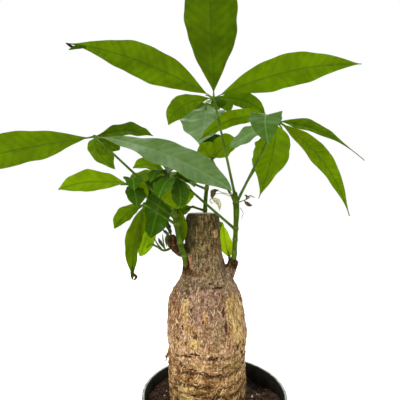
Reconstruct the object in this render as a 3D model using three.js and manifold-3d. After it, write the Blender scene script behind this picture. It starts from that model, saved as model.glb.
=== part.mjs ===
// Potted money tree: one thick trunk with a swollen foot and a sawn-off top, three green
// shoots that grow out of its shoulder, and palmate leaves on long stalks, in a plastic pot.
// Millimetres, +Z up, +X to the right, +Y away from the front.
// The origin is the middle of the flat underside of the pot.
import * as THREE from 'three';
import { mergeVertices } from 'three/addons/utils/BufferGeometryUtils.js';
import Module from 'manifold-3d';

const wasm = await Module();
wasm.setup();

// Driving dimensions of the pot
const POT_HEIGHT = 115;
const POT_RIM_RADIUS = 65;
const POT_LIP_WIDTH = 2.5;
const POT_LIP_ROUND = 0.8;
const POT_COLLAR_HEIGHT = 12;
const POT_COLLAR_STEP = 1.4;
const POT_COLLAR_FLARE = 1.2;
const POT_SHOULDER = 2;
const POT_BASE_RADIUS = 47;
const POT_BASE_CHAMFER = 1;
const POT_WALL = 1.4;
const POT_FLOOR = 1.8;
const POT_SEGMENTS = 48;
const DRAIN_HOLES = 6;
const DRAIN_RADIUS = 4;
const DRAIN_CIRCLE = 30;
const DRAIN_SIDES = 12;

// Driving dimensions of the soil
const SOIL_LEVEL = 105;
const SOIL_LUMP = 0.9;
// Waves of its surface: turns a millimetre along x and y, start and share, all in radians
const SOIL_WAVES = [[0.31, -0.27, 2.07, 0.5], [0.31, 0.27, -0.27, 0.5], [0.53, -0.38, 0, 0.6]];
const SOIL_RINGS = [1, 0.93, 0.85, 0.77, 0.69, 0.61, 0.5];
const SOIL_SEGMENTS = 40;
const HOLLOW_CENTRE = [46, 34];
const HOLLOW_WIDTH = 17;
const HOLLOW_DEPTH = 9;

// Outline of the trunk seen from the front: height, left edge, right edge
const TRUNK_OUTLINE = [
  [70, -31, 19],
  [88, -37, 25.5],
  [105, -39, 27.3],
  [123, -41, 28.2],
  [141, -41.4, 27.5],
  [151, -40.9, 27.6],
  [168, -42.4, 28.8],
  [178, -42.6, 27.2],
  [196, -41.2, 25.4],
  [205, -37.8, 22.6],
  [217, -31, 16.6],
  [228, -27.2, 10.4],
  [240, -26.2, 7],
  [251, -26.6, 5.6],
  [269, -25.6, 4.8],
  [275.7, -24.8, 4.3],
];
const TRUNK_STEP = 7.4;
const TRUNK_SIDES = 28;
// Folds around the foot: height and depth
const RING_FOLDS = [
  [106, 1],
  [112.5, 1.1],
  [120, 1.2],
  [127.3, 1.1],
  [134.7, 1.2],
  [144.4, 1],
  [151.5, 0.6],
  [159, 0.4],
];
const FOLD_HALF_WIDTH = 2;
const FOLD_SWING_FADE = 12;
const FLUTE_DEPTH = 0.55;
const NECK_FLUTE_SHARE = 0.35;
const NECK_FROM = 190;
const NECK_TO = 225;
// Waves around the trunk: how many, their share and their start in radians
const FLUTES = [[5, 1, 0.6], [8, 0.6, 2]];
const FOLD_SWINGS = [[2, 1.2, 1], [3, 0.9, 0.4]];
const CUT_EDGE = 1.5;

// Parts of the trunk that stand out of its shoulder: points with their radius
const TRUNK_STUBS = [
  [[9, -3, 214, 7], [13.6, -4.5, 224, 5.6], [16.7, -5, 231, 4.7]],
  [[-19, -8, 213, 8], [-23.4, -11, 221, 5.6], [-25.4, -12.2, 229, 3.8]],
  [[-7, 12, 213, 7.5], [-6.4, 17, 222, 5.8], [-6.3, 20, 229, 4.4]],
  [[-17, -2, 235, 6.5], [-25, -3, 240.5, 6], [-32, -3, 243.5, 5.6], [-38.5, -3, 251.5, 4.8]],
];
const DRY_TWIG = [
  [-37, -3, 245, 1.1],
  [-44.6, -8, 242.7, 1],
  [-50, -13, 246.6, 0.9],
  [-55, -17, 249, 0.8],
  [-58, -19, 247, 0.7],
];

const STUB_SIDES = 10;
const STUB_STEPS = 4;
const TWIG_SIDES = 5;
const TWIG_STEPS = 8;

// Green shoots: points with their radius, from the shoulder of the trunk upwards
const SHOOTS = {
  shoot_right: [[17, -5, 228, 2.7], [18, -5, 240, 2.2], [19.2, -5, 262, 2.1], [19.8, -5, 279, 2.7],
    [18.5, -5, 293, 2.3]],
  shoot_left: [[-25, -12, 226, 2.6], [-26.3, -12.6, 238, 2.3], [-29.4, -14, 248, 2.5],
    [-31.9, -15, 261, 2.6], [-34.5, -15, 275, 2.5], [-38, -14, 286, 2]],
  shoot_back: [[-6.3, 19.6, 226, 2.3], [-8, 18, 264, 2], [-7, 19, 293, 1.9], [-3, 22, 319, 1.6]],
};
const SHOOT_SIDES = 9;
const SHOOT_STEPS = 3;

// Leaves: each stalk runs from its shoot to a hub, where the leaflets spread.
// A leaflet is its tip seen from the hub (x, y, z), how far its rib bows out of a straight line
// (x, y, z), its width, its turn about its own length in degrees, and its widest place, from
// 0 at the hub to 1 at the tip.
const LEAVES = {
  leaf_right_crown: {
    shoot: 'shoot_right',
    root: [18.6, -5, 291], hub: [0, 5, 382],
    leaflets: [
      [-7, -50, 100, 0.3, 2.2, 2.4, 46, 0, 0.57],
      [-132.4, -10, 45.8, -3.1, 0, 9.7, 31, 62, 0.41],
      [131.9, -10, 27.4, 1.4, 0, 8.9, 30, -62, 0.46],
      [-46.7, 50, -13.8, -7.6, 2, 7.1, 21, 48, 0.55],
      [57.1, 50, -1.5, 2.9, 2, 6.4, 17, -48, 0.55],
      [10, 42, 2, 0.1, 0.3, 3, 14, 0, 0.57],
    ],
  },
  leaf_right_outer: {
    shoot: 'shoot_right',
    root: [19.5, -5, 284], hub: [56, -5, 358],
    leaflets: [
      [86, 15, -33.3, -0.1, 1.5, 9.4, 16, -20, 0.3],
      [60.7, -10, -84.4, 9.1, 2, 7.2, 19, -45, 0.42],
      [-7.5, 50, -68.9, 5.2, 6, 3.5, 38, 0, 0.4],
      [-40, 30, -18, -0.7, 0.5, 0.8, 22, -60, 0.57],
      [-69.8, 30, -11.8, 0.2, 2, 13.1, 17, 45, 0.5],
      [-19.7, -60, -30.4, -6.9, -6, 10.9, 26, 0, 0.55],
    ],
  },
  leaf_right_middle: {
    shoot: 'shoot_right',
    root: [18.5, -4.5, 286], hub: [-1, 30, 328],
    leaflets: [
      [29.8, 9, 18.6, -2.3, 0.5, 4, 26, -62, 0.5],
      [-11.8, -5, 15.2, -0.5, -1.5, 1.3, 20, 66, 0.5],
      [2.1, 24, 30.3, 0.7, 2, 0.1, 25, 0, 0.66],
      [18, 50, 12, 0, -0.1, 3, 18, 0, 0.57],
    ],
  },
  leaf_right_low: {
    shoot: 'shoot_right',
    root: [19, -5, 261], hub: [-34, -25, 307],
    leaflets: [
      [16.7, -6, -5.2, 1.3, -1, 4.1, 17, -60, 0.5],
      [4.9, -8, -25.6, 2.4, -3.5, 1.4, 14.5, 32, 0.6],
      [1.3, 3, -27.1, 1.3, -1, 1.6, 28, -30, 0.6],
      [24, 10, 2, 0, 0, 3, 16, 30, 0.57],
      [-10, -26, -18, -0.9, -2.3, 3.2, 18, 0, 0.57],
    ],
  },
  leaf_right_back: {
    shoot: 'shoot_right',
    root: [19.6, -5, 283], bend: [30, 30, 298], hub: [62, 54, 346],
    leaflets: [
      [16, 76, -26, 0.7, 3.6, 8.3, 30, 0, 0.57],
      [3, 74, -30, 0.2, 3.7, 7.1, 26, 0, 0.57],
      [21, 66, -11, 0.5, 1.7, 6.8, 24, 0, 0.57],
      [1, 60, 3, 0, 0.3, 6, 22, 0, 0.57],
    ],
  },
  leaf_left_outer: {
    shoot: 'shoot_left',
    root: [-36, -14.6, 279], hub: [-104, -15, 342.5],
    leaflets: [
      [-133.8, -10, -29.9, -0.8, -1, 1.9, 30.5, 55, 0.48],
      [115.2, -35, -47.8, 2.7, -0.5, 6.7, 34, 38, 0.6],
      [46.3, 30, 6.2, -0.3, 0, 5.2, 20, -25, 0.5],
      [9.9, 30, -25.4, -6.4, 2, 0.8, 24, 0, 0.55],
      [18.3, 13, -9.7, 1.8, -1.5, 0.1, 19, -55, 0.55],
    ],
  },
  leaf_left_low: {
    shoot: 'shoot_left',
    root: [-34.6, -15, 272], hub: [-72, -20, 301],
    leaflets: [
      [-57.2, -10, -4.9, -2.5, 0, 4.4, 21, 55, 0.52],
      [8, -14, -19, 1.6, -2.8, 2.4, 17, 0, 0.57],
      [14.9, -5, -12.7, 2.2, -1, 2.5, 14, -60, 0.5],
      [8, -24, -6, 0.6, -1.8, 6.8, 15, 0, 0.57],
    ],
  },
  leaf_left_hanging: {
    shoot: 'shoot_left',
    root: [-33, -15, 266], hub: [-60, -22, 284],
    leaflets: [
      [-27.6, 10, -21.4, -1.8, 0, 3, 15, 40, 0.55],
      [-9.8, 2, -65.5, -3.4, 0, 1.4, 20, 20, 0.45],
      [-6.7, 8, -34.8, -1.3, 2, -1.6, 13, 0, 0.5],
    ],
  },
  leaf_left_top: {
    shoot: 'shoot_left',
    root: [-38, -14, 285], hub: [-41, -10, 310],
    leaflets: [
      [-34.1, 16, 7.2, 0, 0, 5.6, 18, 35, 0.5],
      [-18.5, 24, 15.6, 2.5, 1, 2.8, 22, 35, 0.5],
      [10, 34, 12, -0.4, -1.2, 4.9, 26, 0, 0.57],
      [-12, -22, -8, -1, -1.8, 5.6, 14, 0, 0.57],
      [-18.9, 14, -25.3, -2.3, 2, 2.8, 26, 0, 0.5],
      [-15.9, 3, -56.3, -0.8, 1.5, -0.6, 27, -88, 0.57],
      [-28.3, 20, -75.2, -1.7, 2, -5.1, 17, 80, 0.66],
    ],
  },
  leaf_left_inner: {
    shoot: 'shoot_left',
    root: [-36.4, -14.4, 280], hub: [-33.5, -8, 283],
    leaflets: [
      [4.4, -1.5, -34.3, 3.8, -1.8, -1.2, 7.5, -120, 0.5],
      [3, 14, -16, 0.2, 0.9, 0.5, 8, 0, 0.57],
    ],
  },
  leaf_back_crown: {
    shoot: 'shoot_back',
    root: [-3.4, 21.6, 314], bend: [-6, 46, 340], hub: [-6, 68, 394.5],
    leaflets: [
      [-7.3, -34, -50.8, 1.7, 5, 3.6, 51, 0, 0.5],
      [30, 50, 4, 0, 0, 8, 30, 0, 0.57],
      [-26, 56, 0, -0.3, 0.6, 8, 32, 0, 0.57],
      [4, 62, -8, 0.1, 1.6, 7.9, 30, 0, 0.57],
    ],
  },
  leaf_back_left: {
    shoot: 'shoot_back',
    root: [-6.4, 19.4, 298], hub: [-50, 78, 318],
    leaflets: [
      [-50, 26, -14, -2.2, 1.1, 7.6, 26, 0, 0.57],
      [-34, 60, -16, -1.3, 2.4, 8.6, 32, 0, 0.57],
      [4, 66, -18, 0.2, 3, 8.5, 34, 0, 0.57],
      [30, 46, -14, 1.4, 2.1, 7.6, 26, 0, 0.57],
    ],
  },
  leaf_back_side: {
    shoot: 'shoot_back',
    root: [-7.6, 18.4, 277], hub: [-20, 20, 281],
    leaflets: [
      [-16.8, -4, -6.4, 0.1, 1, 0, 11, 66, 0.5],
      [-8, 14, -4, -0.3, 0.6, 1.9, 9, 0, 0.57],
    ],
  },
  leaf_back_low: {
    shoot: 'shoot_back',
    root: [-8, 18.2, 262], hub: [-5, 46, 270],
    leaflets: [
      [-12, 30, -34, -1.7, 4.3, 3.8, 22, 0, 0.57],
      [12, 30, -30, 1.6, 4.1, 4.1, 22, 0, 0.57],
      [0, 46, -14, 0, 2.5, 6.6, 24, 0, 0.57],
    ],
  },
  leaf_right_sprout: {
    shoot: 'shoot_right',
    root: [17.4, -5, 236.5], hub: [14.6, 7, 232.5],
    leaflets: [
      [-6, 5, 34, -0.8, 0.7, 0.1, 14, 150, 0.42],
      [4, 16, 14, -0.3, -1.1, 1.7, 9, 0, 0.57],
    ],
  },
};
const STALK_ROOT_RADIUS = 1.25;
const STALK_END_RADIUS = 0.95;
const STALK_SIDES = 6;
const STALK_BEND_STEPS = 6;
const HUB_RADIUS = 1.8;
const BLADE_THICKNESS = 0.8;
const BLADE_STEP = 12;
const BLADE_STEPS = [5, 9];
const WIDE_BLADE = 28;
const BLADE_LEAST_HALF = 0.7;
const OUTLINE_RISE = 1.2;
const BARE_BASE = 0.04;
const FOLD = 0.22;
const FOLD_EASE = 0.3;
const WAVE = 0.04;
const WAVE_EDGE = 1.5;
const WAVE_REACH = 1.5;
const WAVES_PER_BLADE = 3.3;
const PHASE_STEP = 2.1;
const PHASE_ACROSS = 1.9;

// Space left between touching pieces, and the distance at which points are one point
const GAP = 0.3;
const MERGE_DISTANCE = 1e-4;

const UP = new THREE.Vector3(0, 0, 1);
const vector = (point) => new THREE.Vector3(point[0], point[1], point[2]);

function material(color, roughness) {
  return new THREE.MeshStandardMaterial({ color, roughness, metalness: 0 });
}

// A closed geometry from vertices and triangles, with its faces turned outwards
function closedGeometry(points, triangles) {
  let volume = 0;
  for (const [a, b, c] of triangles) {
    volume += points[a].dot(points[b].clone().cross(points[c]));
  }
  const faces = volume < 0 ? triangles.map(([a, b, c]) => [a, c, b]) : triangles;
  const geometry = new THREE.BufferGeometry();
  const places = points.flatMap((point) => [point.x, point.y, point.z]);
  geometry.setAttribute('position', new THREE.Float32BufferAttribute(places, 3));
  geometry.setIndex(faces.flat());
  return geometry;
}

function toSolid(source) {
  let geometry = source.clone();
  geometry.deleteAttribute('normal');
  geometry.deleteAttribute('uv');
  geometry = mergeVertices(geometry, MERGE_DISTANCE);
  const faces = [];
  for (let i = 0; i < geometry.index.count; i += 3) {
    const face = [0, 1, 2].map((corner) => geometry.index.getX(i + corner));
    if (new Set(face).size === 3) {
      faces.push(...face);
    }
  }
  return new wasm.Manifold(new wasm.Mesh({
    numProp: 3,
    vertProperties: new Float32Array(geometry.attributes.position.array),
    triVerts: new Uint32Array(faces),
  }));
}

function toGeometry(solid) {
  const mesh = solid.getMesh();
  const geometry = new THREE.BufferGeometry();
  geometry.setAttribute('position', new THREE.BufferAttribute(new Float32Array(mesh.vertProperties), 3));
  geometry.setIndex(new THREE.BufferAttribute(new Uint32Array(mesh.triVerts), 1));
  return geometry;
}

// A closed skin over rings of equal count, with both ends closed to their middle
function loft(rings) {
  const count = rings[0].length;
  const points = rings.flat();
  const triangles = [];
  for (let i = 0; i < rings.length - 1; i += 1) {
    for (let j = 0; j < count; j += 1) {
      const a = i * count + j;
      const b = i * count + ((j + 1) % count);
      triangles.push([a, b, b + count], [a, b + count, a + count]);
    }
  }
  for (const [ring, flip] of [[0, true], [rings.length - 1, false]]) {
    const middle = new THREE.Vector3();
    rings[ring].forEach((point) => middle.addScaledVector(point, 1 / count));
    points.push(middle);
    for (let j = 0; j < count; j += 1) {
      const a = ring * count + j;
      const b = ring * count + ((j + 1) % count);
      triangles.push(flip ? [b, a, points.length - 1] : [a, b, points.length - 1]);
    }
  }
  return closedGeometry(points, triangles);
}

// A tapering round stem through points that carry their radius
function stem(stations, sides, steps, grow = 0) {
  const curve = new THREE.CatmullRomCurve3(stations.map(vector), false, 'centripetal');
  const frames = curve.computeFrenetFrames(steps, false);
  const rings = [];
  for (let i = 0; i <= steps; i += 1) {
    const place = (i / steps) * (stations.length - 1);
    const before = Math.min(Math.floor(place), stations.length - 2);
    const radius = THREE.MathUtils.lerp(stations[before][3], stations[before + 1][3], place - before) + grow;
    const centre = curve.getPoint(i / steps);
    if (i === 0) {
      centre.addScaledVector(frames.tangents[i], -grow);
    }
    if (i === steps) {
      centre.addScaledVector(frames.tangents[i], grow);
    }
    const ring = [];
    for (let j = 0; j < sides; j += 1) {
      const angle = (j / sides) * 2 * Math.PI;
      ring.push(centre.clone()
        .addScaledVector(frames.normals[i], radius * Math.cos(angle))
        .addScaledVector(frames.binormals[i], radius * Math.sin(angle)));
    }
    rings.push(ring);
  }
  return loft(rings);
}

// Values of a table at a height, on a smooth curve through its rows
function along(table, height) {
  let row = 0;
  while (row < table.length - 2 && height > table[row + 1][0]) {
    row += 1;
  }
  const [from, to] = [table[row], table[row + 1]];
  const before = table[Math.max(row - 1, 0)];
  const after = table[Math.min(row + 2, table.length - 1)];
  const span = to[0] - from[0];
  const t = THREE.MathUtils.clamp((height - from[0]) / span, 0, 1);
  return from.slice(1).map((value, k) => {
    const slopeFrom = ((to[k + 1] - before[k + 1]) / (to[0] - before[0])) * span;
    const slopeTo = ((after[k + 1] - value) / (after[0] - from[0])) * span;
    return value * (2 * t ** 3 - 3 * t ** 2 + 1) + slopeFrom * (t ** 3 - 2 * t ** 2 + t)
      + to[k + 1] * (3 * t ** 2 - 2 * t ** 3) + slopeTo * (t ** 3 - t ** 2);
  });
}

// Pot: a tapering wall, a collar with a rounded lip, a flat floor with drain holes
function potInnerRadius(height) {
  const collar = POT_HEIGHT - POT_COLLAR_HEIGHT;
  const neck = POT_RIM_RADIUS - POT_COLLAR_FLARE - POT_COLLAR_STEP;
  return THREE.MathUtils.lerp(POT_BASE_RADIUS, neck, height / collar) - POT_WALL;
}

function pot() {
  const collar = POT_HEIGHT - POT_COLLAR_HEIGHT;
  const collarRadius = POT_RIM_RADIUS - POT_COLLAR_FLARE;
  const lip = POT_RIM_RADIUS - POT_LIP_WIDTH;
  const profile = [
    [0, 0],
    [POT_BASE_RADIUS - POT_BASE_CHAMFER, 0],
    [POT_BASE_RADIUS, POT_BASE_CHAMFER],
    [collarRadius - POT_COLLAR_STEP, collar],
    [collarRadius, collar],
    [POT_RIM_RADIUS, POT_HEIGHT - POT_LIP_ROUND],
    [POT_RIM_RADIUS - POT_LIP_ROUND, POT_HEIGHT],
    [lip + POT_LIP_ROUND, POT_HEIGHT],
    [lip, POT_HEIGHT - POT_LIP_ROUND],
    [potInnerRadius(collar), collar - POT_SHOULDER],
    [potInnerRadius(POT_FLOOR), POT_FLOOR],
    [0, POT_FLOOR],
  ].map(([radius, height]) => new THREE.Vector2(radius, height));
  const shell = new THREE.LatheGeometry(profile, POT_SEGMENTS);
  shell.rotateX(Math.PI / 2);
  let body = toSolid(shell);
  for (let i = 0; i < DRAIN_HOLES; i += 1) {
    const angle = ((i + 0.5) / DRAIN_HOLES) * 2 * Math.PI;
    const drill = new THREE.CylinderGeometry(DRAIN_RADIUS, DRAIN_RADIUS, 4 * POT_FLOOR, DRAIN_SIDES);
    drill.rotateX(Math.PI / 2);
    drill.translate(DRAIN_CIRCLE * Math.cos(angle), DRAIN_CIRCLE * Math.sin(angle), 0);
    body = body.subtract(toSolid(drill));
  }
  return body;
}

// Trunk: round rings between the two edges of its outline, with flutes and ring folds
function wavesAround(waves, angle) {
  return waves.reduce((sum, [count, share, start]) => sum + share * Math.sin(count * angle + start), 0);
}

// A ring that swings up and down by a share of the folds' swing, sunk or grown by some millimetres
function trunkRing(level, swing, grow) {
  const neck = THREE.MathUtils.smoothstep(level, NECK_FROM, NECK_TO);
  const flute = FLUTE_DEPTH * THREE.MathUtils.lerp(1, NECK_FLUTE_SHARE, neck);
  const ring = [];
  for (let j = 0; j < TRUNK_SIDES; j += 1) {
    const angle = (j / TRUNK_SIDES) * 2 * Math.PI;
    const height = level + swing * wavesAround(FOLD_SWINGS, angle);
    const [left, right] = along(TRUNK_OUTLINE, height);
    const radius = (right - left) / 2 + flute * wavesAround(FLUTES, angle) + grow;
    const x = (left + right) / 2 + radius * Math.cos(angle);
    ring.push(new THREE.Vector3(x, radius * Math.sin(angle), height));
  }
  return ring;
}

// Levels about a step apart from one height up to another, without the upper one
function levelsBetween(from, to) {
  const count = Math.round((to - from) / TRUNK_STEP);
  return Array.from({ length: count }, (_, i) => [THREE.MathUtils.lerp(from, to, i / count), 0]);
}

function trunkColumn(grow) {
  const foot = TRUNK_OUTLINE[0][0];
  const top = TRUNK_OUTLINE[TRUNK_OUTLINE.length - 1][0];
  const firstFold = RING_FOLDS[0][0] - FOLD_HALF_WIDTH;
  const lastFold = RING_FOLDS[RING_FOLDS.length - 1][0] + FOLD_HALF_WIDTH;
  const folds = RING_FOLDS.flatMap(([height, depth]) => [
    [height - FOLD_HALF_WIDTH, 0],
    [height, depth],
    [height + FOLD_HALF_WIDTH, 0],
  ]);
  const above = levelsBetween(lastFold, top - CUT_EDGE).slice(1);
  const levels = [...levelsBetween(foot, firstFold), ...folds, ...above, [top - CUT_EDGE, 0]];
  const rings = levels.map(([level, depth]) => {
    const swing = THREE.MathUtils.smoothstep(level, firstFold - FOLD_SWING_FADE, firstFold)
      * (1 - THREE.MathUtils.smoothstep(level, lastFold, lastFold + FOLD_SWING_FADE));
    return trunkRing(level, swing, grow - depth);
  });
  rings[0].forEach((point) => point.setZ(point.z - grow));
  rings.push(trunkRing(top, 0, grow - CUT_EDGE));
  return toSolid(loft(rings));
}

function trunk(shoots) {
  let body = trunkColumn(0);
  for (const stub of TRUNK_STUBS) {
    body = body.add(toSolid(stem(stub, STUB_SIDES, STUB_STEPS)));
  }
  body = body.add(toSolid(stem(DRY_TWIG, TWIG_SIDES, TWIG_STEPS)));
  for (const name of Object.keys(shoots)) {
    body = body.subtract(shootSolid(name, GAP));
  }
  return body;
}

function shootSolid(name, grow = 0) {
  const steps = SHOOT_STEPS * (SHOOTS[name].length - 1);
  return toSolid(stem(SHOOTS[name], SHOOT_SIDES, steps, grow));
}

// Soil: it fills the pot, with low lumps, a washed-out hollow at the back right and a
// plain hole that the foot of the trunk stands in
function soilHeight(x, y) {
  let height = SOIL_LEVEL;
  for (const [alongX, alongY, start, share] of SOIL_WAVES) {
    height += SOIL_LUMP * share * Math.sin(alongX * x + alongY * y + start);
  }
  const far = Math.hypot(x - HOLLOW_CENTRE[0], y - HOLLOW_CENTRE[1]) / HOLLOW_WIDTH;
  return height - HOLLOW_DEPTH * Math.exp(-far * far);
}

function soilRing(radius, height) {
  const ring = [];
  for (let j = 0; j < SOIL_SEGMENTS; j += 1) {
    const angle = (j / SOIL_SEGMENTS) * 2 * Math.PI;
    const [x, y] = [radius * Math.cos(angle), radius * Math.sin(angle)];
    ring.push(new THREE.Vector3(x, y, height ?? soilHeight(x, y)));
  }
  return ring;
}

function soil() {
  const floor = POT_FLOOR + GAP;
  const shoulder = SOIL_LEVEL - HOLLOW_DEPTH - 3 * SOIL_LUMP;
  const edge = potInnerRadius(shoulder) - 2 * GAP;
  const rings = [soilRing(potInnerRadius(floor) - 2 * GAP, floor), soilRing(edge, shoulder)];
  for (const share of SOIL_RINGS) {
    rings.push(soilRing(edge * share));
  }
  return toSolid(loft(rings)).subtract(trunkColumn(GAP));
}

// Leaflet: a bowed rib, a blade folded up along it like a shallow V, and a waved margin
function outline(s, widest) {
  const fall = (OUTLINE_RISE * (1 - widest)) / widest;
  const t = Math.max((s - BARE_BASE) / (1 - BARE_BASE), 0);
  return (t ** OUTLINE_RISE * (1 - t) ** fall) / (widest ** OUTLINE_RISE * (1 - widest) ** fall);
}

function bladeGrid(hub, leaflet, phase, halves) {
  const [x, y, z, bowX, bowY, bowZ, width, turn, widest] = leaflet;
  const reach = new THREE.Vector3(x, y, z);
  const heading = reach.clone().normalize();
  const rise = UP.clone().addScaledVector(heading, -heading.z).normalize();
  const bow = new THREE.Vector3(bowX, bowY, bowZ);
  const middle = hub.clone().addScaledVector(reach, 0.5).addScaledVector(bow, 2);
  const rib = new THREE.QuadraticBezierCurve3(hub, middle, hub.clone().add(reach));
  const face = rise.clone().applyAxisAngle(heading, THREE.MathUtils.degToRad(turn));
  const steps = THREE.MathUtils.clamp(Math.round(reach.length() / BLADE_STEP), ...BLADE_STEPS);
  const grid = [];
  for (let i = 0; i <= steps; i += 1) {
    const s = i / steps;
    const forward = rib.getTangent(s);
    const side = forward.clone().cross(face).normalize();
    const normal = side.clone().cross(forward);
    const shape = outline(s, widest);
    const half = Math.max((width / 2) * shape, BLADE_LEAST_HALF);
    const row = [];
    for (let j = -halves; j <= halves; j += 1) {
      const q = j / halves;
      const far = Math.abs(q);
      const ripple = Math.sin(2 * Math.PI * WAVES_PER_BLADE * s + phase + (q > 0 ? PHASE_ACROSS : 0));
      const fold = half * FOLD * far * (1 - FOLD_EASE * far);
      const lift = fold + WAVE * width * far ** WAVE_EDGE * ripple * Math.min(1, WAVE_REACH * shape);
      row.push(rib.getPoint(s).addScaledVector(side, q * half).addScaledVector(normal, lift));
    }
    grid.push(row);
  }
  return grid;
}

// A sheet of even thickness from a grid, split into triangles alike on both faces
function sheet(grid, thickness) {
  const [rows, columns] = [grid.length, grid[0].length];
  const [upper, lower] = [[], []];
  for (let i = 0; i < rows; i += 1) {
    for (let j = 0; j < columns; j += 1) {
      const lengthwise = grid[Math.min(i + 1, rows - 1)][j].clone().sub(grid[Math.max(i - 1, 0)][j]);
      const across = grid[i][Math.min(j + 1, columns - 1)].clone().sub(grid[i][Math.max(j - 1, 0)]);
      const normal = across.cross(lengthwise).normalize();
      upper.push(grid[i][j].clone().addScaledVector(normal, thickness / 2));
      lower.push(grid[i][j].clone().addScaledVector(normal, -thickness / 2));
    }
  }
  const offset = rows * columns;
  const triangles = [];
  const wall = (a, b) => triangles.push([a, b, b + offset], [a, b + offset, a + offset]);
  for (let i = 0; i < rows - 1; i += 1) {
    for (let j = 0; j < columns - 1; j += 1) {
      const [a, b] = [i * columns + j, i * columns + j + 1];
      const [c, d] = [a + columns, b + columns];
      triangles.push([a, d, b], [a, c, d]);
      triangles.push([a + offset, b + offset, d + offset], [a + offset, d + offset, c + offset]);
    }
    wall((i + 1) * columns, i * columns);
    wall(i * columns + columns - 1, (i + 1) * columns + columns - 1);
  }
  for (let j = 0; j < columns - 1; j += 1) {
    wall(j, j + 1);
    wall(offset - columns + j + 1, offset - columns + j);
  }
  return closedGeometry([...upper, ...lower], triangles);
}

function leaf({ shoot, root, bend, hub, leaflets }) {
  const centre = vector(hub);
  const middle = bend ? [[...bend, (STALK_ROOT_RADIUS + STALK_END_RADIUS) / 2]] : [];
  const stalk = [[...root, STALK_ROOT_RADIUS], ...middle, [...hub, STALK_END_RADIUS]];
  const knuckle = new THREE.IcosahedronGeometry(HUB_RADIUS, 0);
  knuckle.translate(...hub);
  let body = toSolid(stem(stalk, STALK_SIDES, bend ? STALK_BEND_STEPS : 1)).add(toSolid(knuckle));
  leaflets.forEach((leaflet, index) => {
    const halves = leaflet[6] >= WIDE_BLADE ? 2 : 1;
    const grid = bladeGrid(centre, leaflet, PHASE_STEP * index + hub[0], halves);
    body = body.add(toSolid(sheet(grid, BLADE_THICKNESS)));
  });
  return body.subtract(shootSolid(shoot, GAP));
}

const plant = new THREE.Group();

function addNode(name, solid, look) {
  const mesh = new THREE.Mesh(toGeometry(solid), look);
  mesh.name = name;
  plant.add(mesh);
}

addNode('pot', pot(), material(0x17181a, 0.35));
addNode('soil', soil(), material(0x2a1f18, 0.95));
addNode('trunk', trunk(SHOOTS), material(0xa08258, 0.85));
for (const name of Object.keys(SHOOTS)) {
  addNode(name, shootSolid(name), material(0x4b7a2c, 0.55));
}
for (const [name, shape] of Object.entries(LEAVES)) {
  addNode(name, leaf(shape), material(0x5c8f2a, 0.45));
}

export default plant;
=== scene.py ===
import math

import bmesh
import bpy
import numpy as np
from mathutils import Matrix, Vector, noise
from mathutils.kdtree import KDTree


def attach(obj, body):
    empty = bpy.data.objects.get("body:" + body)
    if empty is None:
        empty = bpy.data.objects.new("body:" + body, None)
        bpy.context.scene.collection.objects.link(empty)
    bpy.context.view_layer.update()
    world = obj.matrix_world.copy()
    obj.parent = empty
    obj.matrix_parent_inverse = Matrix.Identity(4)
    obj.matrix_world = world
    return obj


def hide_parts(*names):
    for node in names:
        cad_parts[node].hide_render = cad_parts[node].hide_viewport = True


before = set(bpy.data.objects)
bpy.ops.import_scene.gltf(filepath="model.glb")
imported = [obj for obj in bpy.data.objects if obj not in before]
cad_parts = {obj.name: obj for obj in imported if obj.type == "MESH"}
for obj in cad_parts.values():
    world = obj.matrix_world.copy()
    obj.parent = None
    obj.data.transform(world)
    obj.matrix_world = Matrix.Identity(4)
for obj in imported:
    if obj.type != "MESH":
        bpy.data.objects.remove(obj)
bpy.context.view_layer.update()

# Potted money tree. Tables and sizes are in millimetres, +Z up, +Y away from the camera, and
# the origin is the middle of the pot's underside. Meshes are turned into metres when made.
MM = 0.001
SEED = 11

# Camera at the photograph's place, level, for a square picture
CAMERA_PLACE = (-12.8, -304.7, 287.5)
CAMERA_LENS = 30.1
CAMERA_SENSOR = 36.0

# Lamps: name, place, size in metres and watts; then where they point, and half the floor in metres
LAMPS = [("key_light", (-500, -700, 900), 0.8, 9), ("back_light", (150, 700, 1100), 1.2, 22)]
LAMP_AIM = (-10, 0, 250)
FLOOR_HALF = 2.5

# Pot
POT_HEIGHT = 115.0
POT_RIM_RADIUS = 65.0
POT_LIP_WIDTH = 2.5
POT_LIP_ROUND = 0.8
POT_COLLAR_HEIGHT = 12.0
POT_COLLAR_STEP = 1.4
POT_COLLAR_FLARE = 1.2
POT_BASE_RADIUS = 47.0
POT_WALL = 1.4
POT_FLOOR = 1.8
POT_CHAMFER = 1.0
POT_INNER_ROUND = 1.5
POT_INNER_STEP = 2.0
POT_COLLAR_FOOT = POT_HEIGHT - POT_COLLAR_HEIGHT
POT_COLLAR_RADIUS = POT_RIM_RADIUS - POT_COLLAR_FLARE
POT_NECK_RADIUS = POT_COLLAR_RADIUS - POT_COLLAR_STEP
# Chamfer under the collar, inward and upward, and how far below the top its pale lip fades in
COLLAR_CHAMFER = (0.25, 0.3)
PALE_LIP = (0.9, 0.3)
POT_SIDES = 160
DRAIN_HOLES = 6
DRAIN_RADIUS = 4.0
DRAIN_CIRCLE = 30.0
FLOOR_PLATE_RADIUS = DRAIN_CIRCLE + 10

# Soil
SOIL_LEVEL = 105.0
SOIL_LUMP = 0.9
# Waves of its surface: turns a millimetre along x and y, start and share, all in radians
SOIL_WAVES = [(0.31, -0.27, 2.07, 0.5), (0.31, 0.27, -0.27, 0.5), (0.53, -0.38, 0.0, 0.6)]
SOIL_ROUGHNESS = 1.1
SOIL_SIDES = 180
SOIL_RINGS = 44
SOIL_DEEP = 88.0
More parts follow.
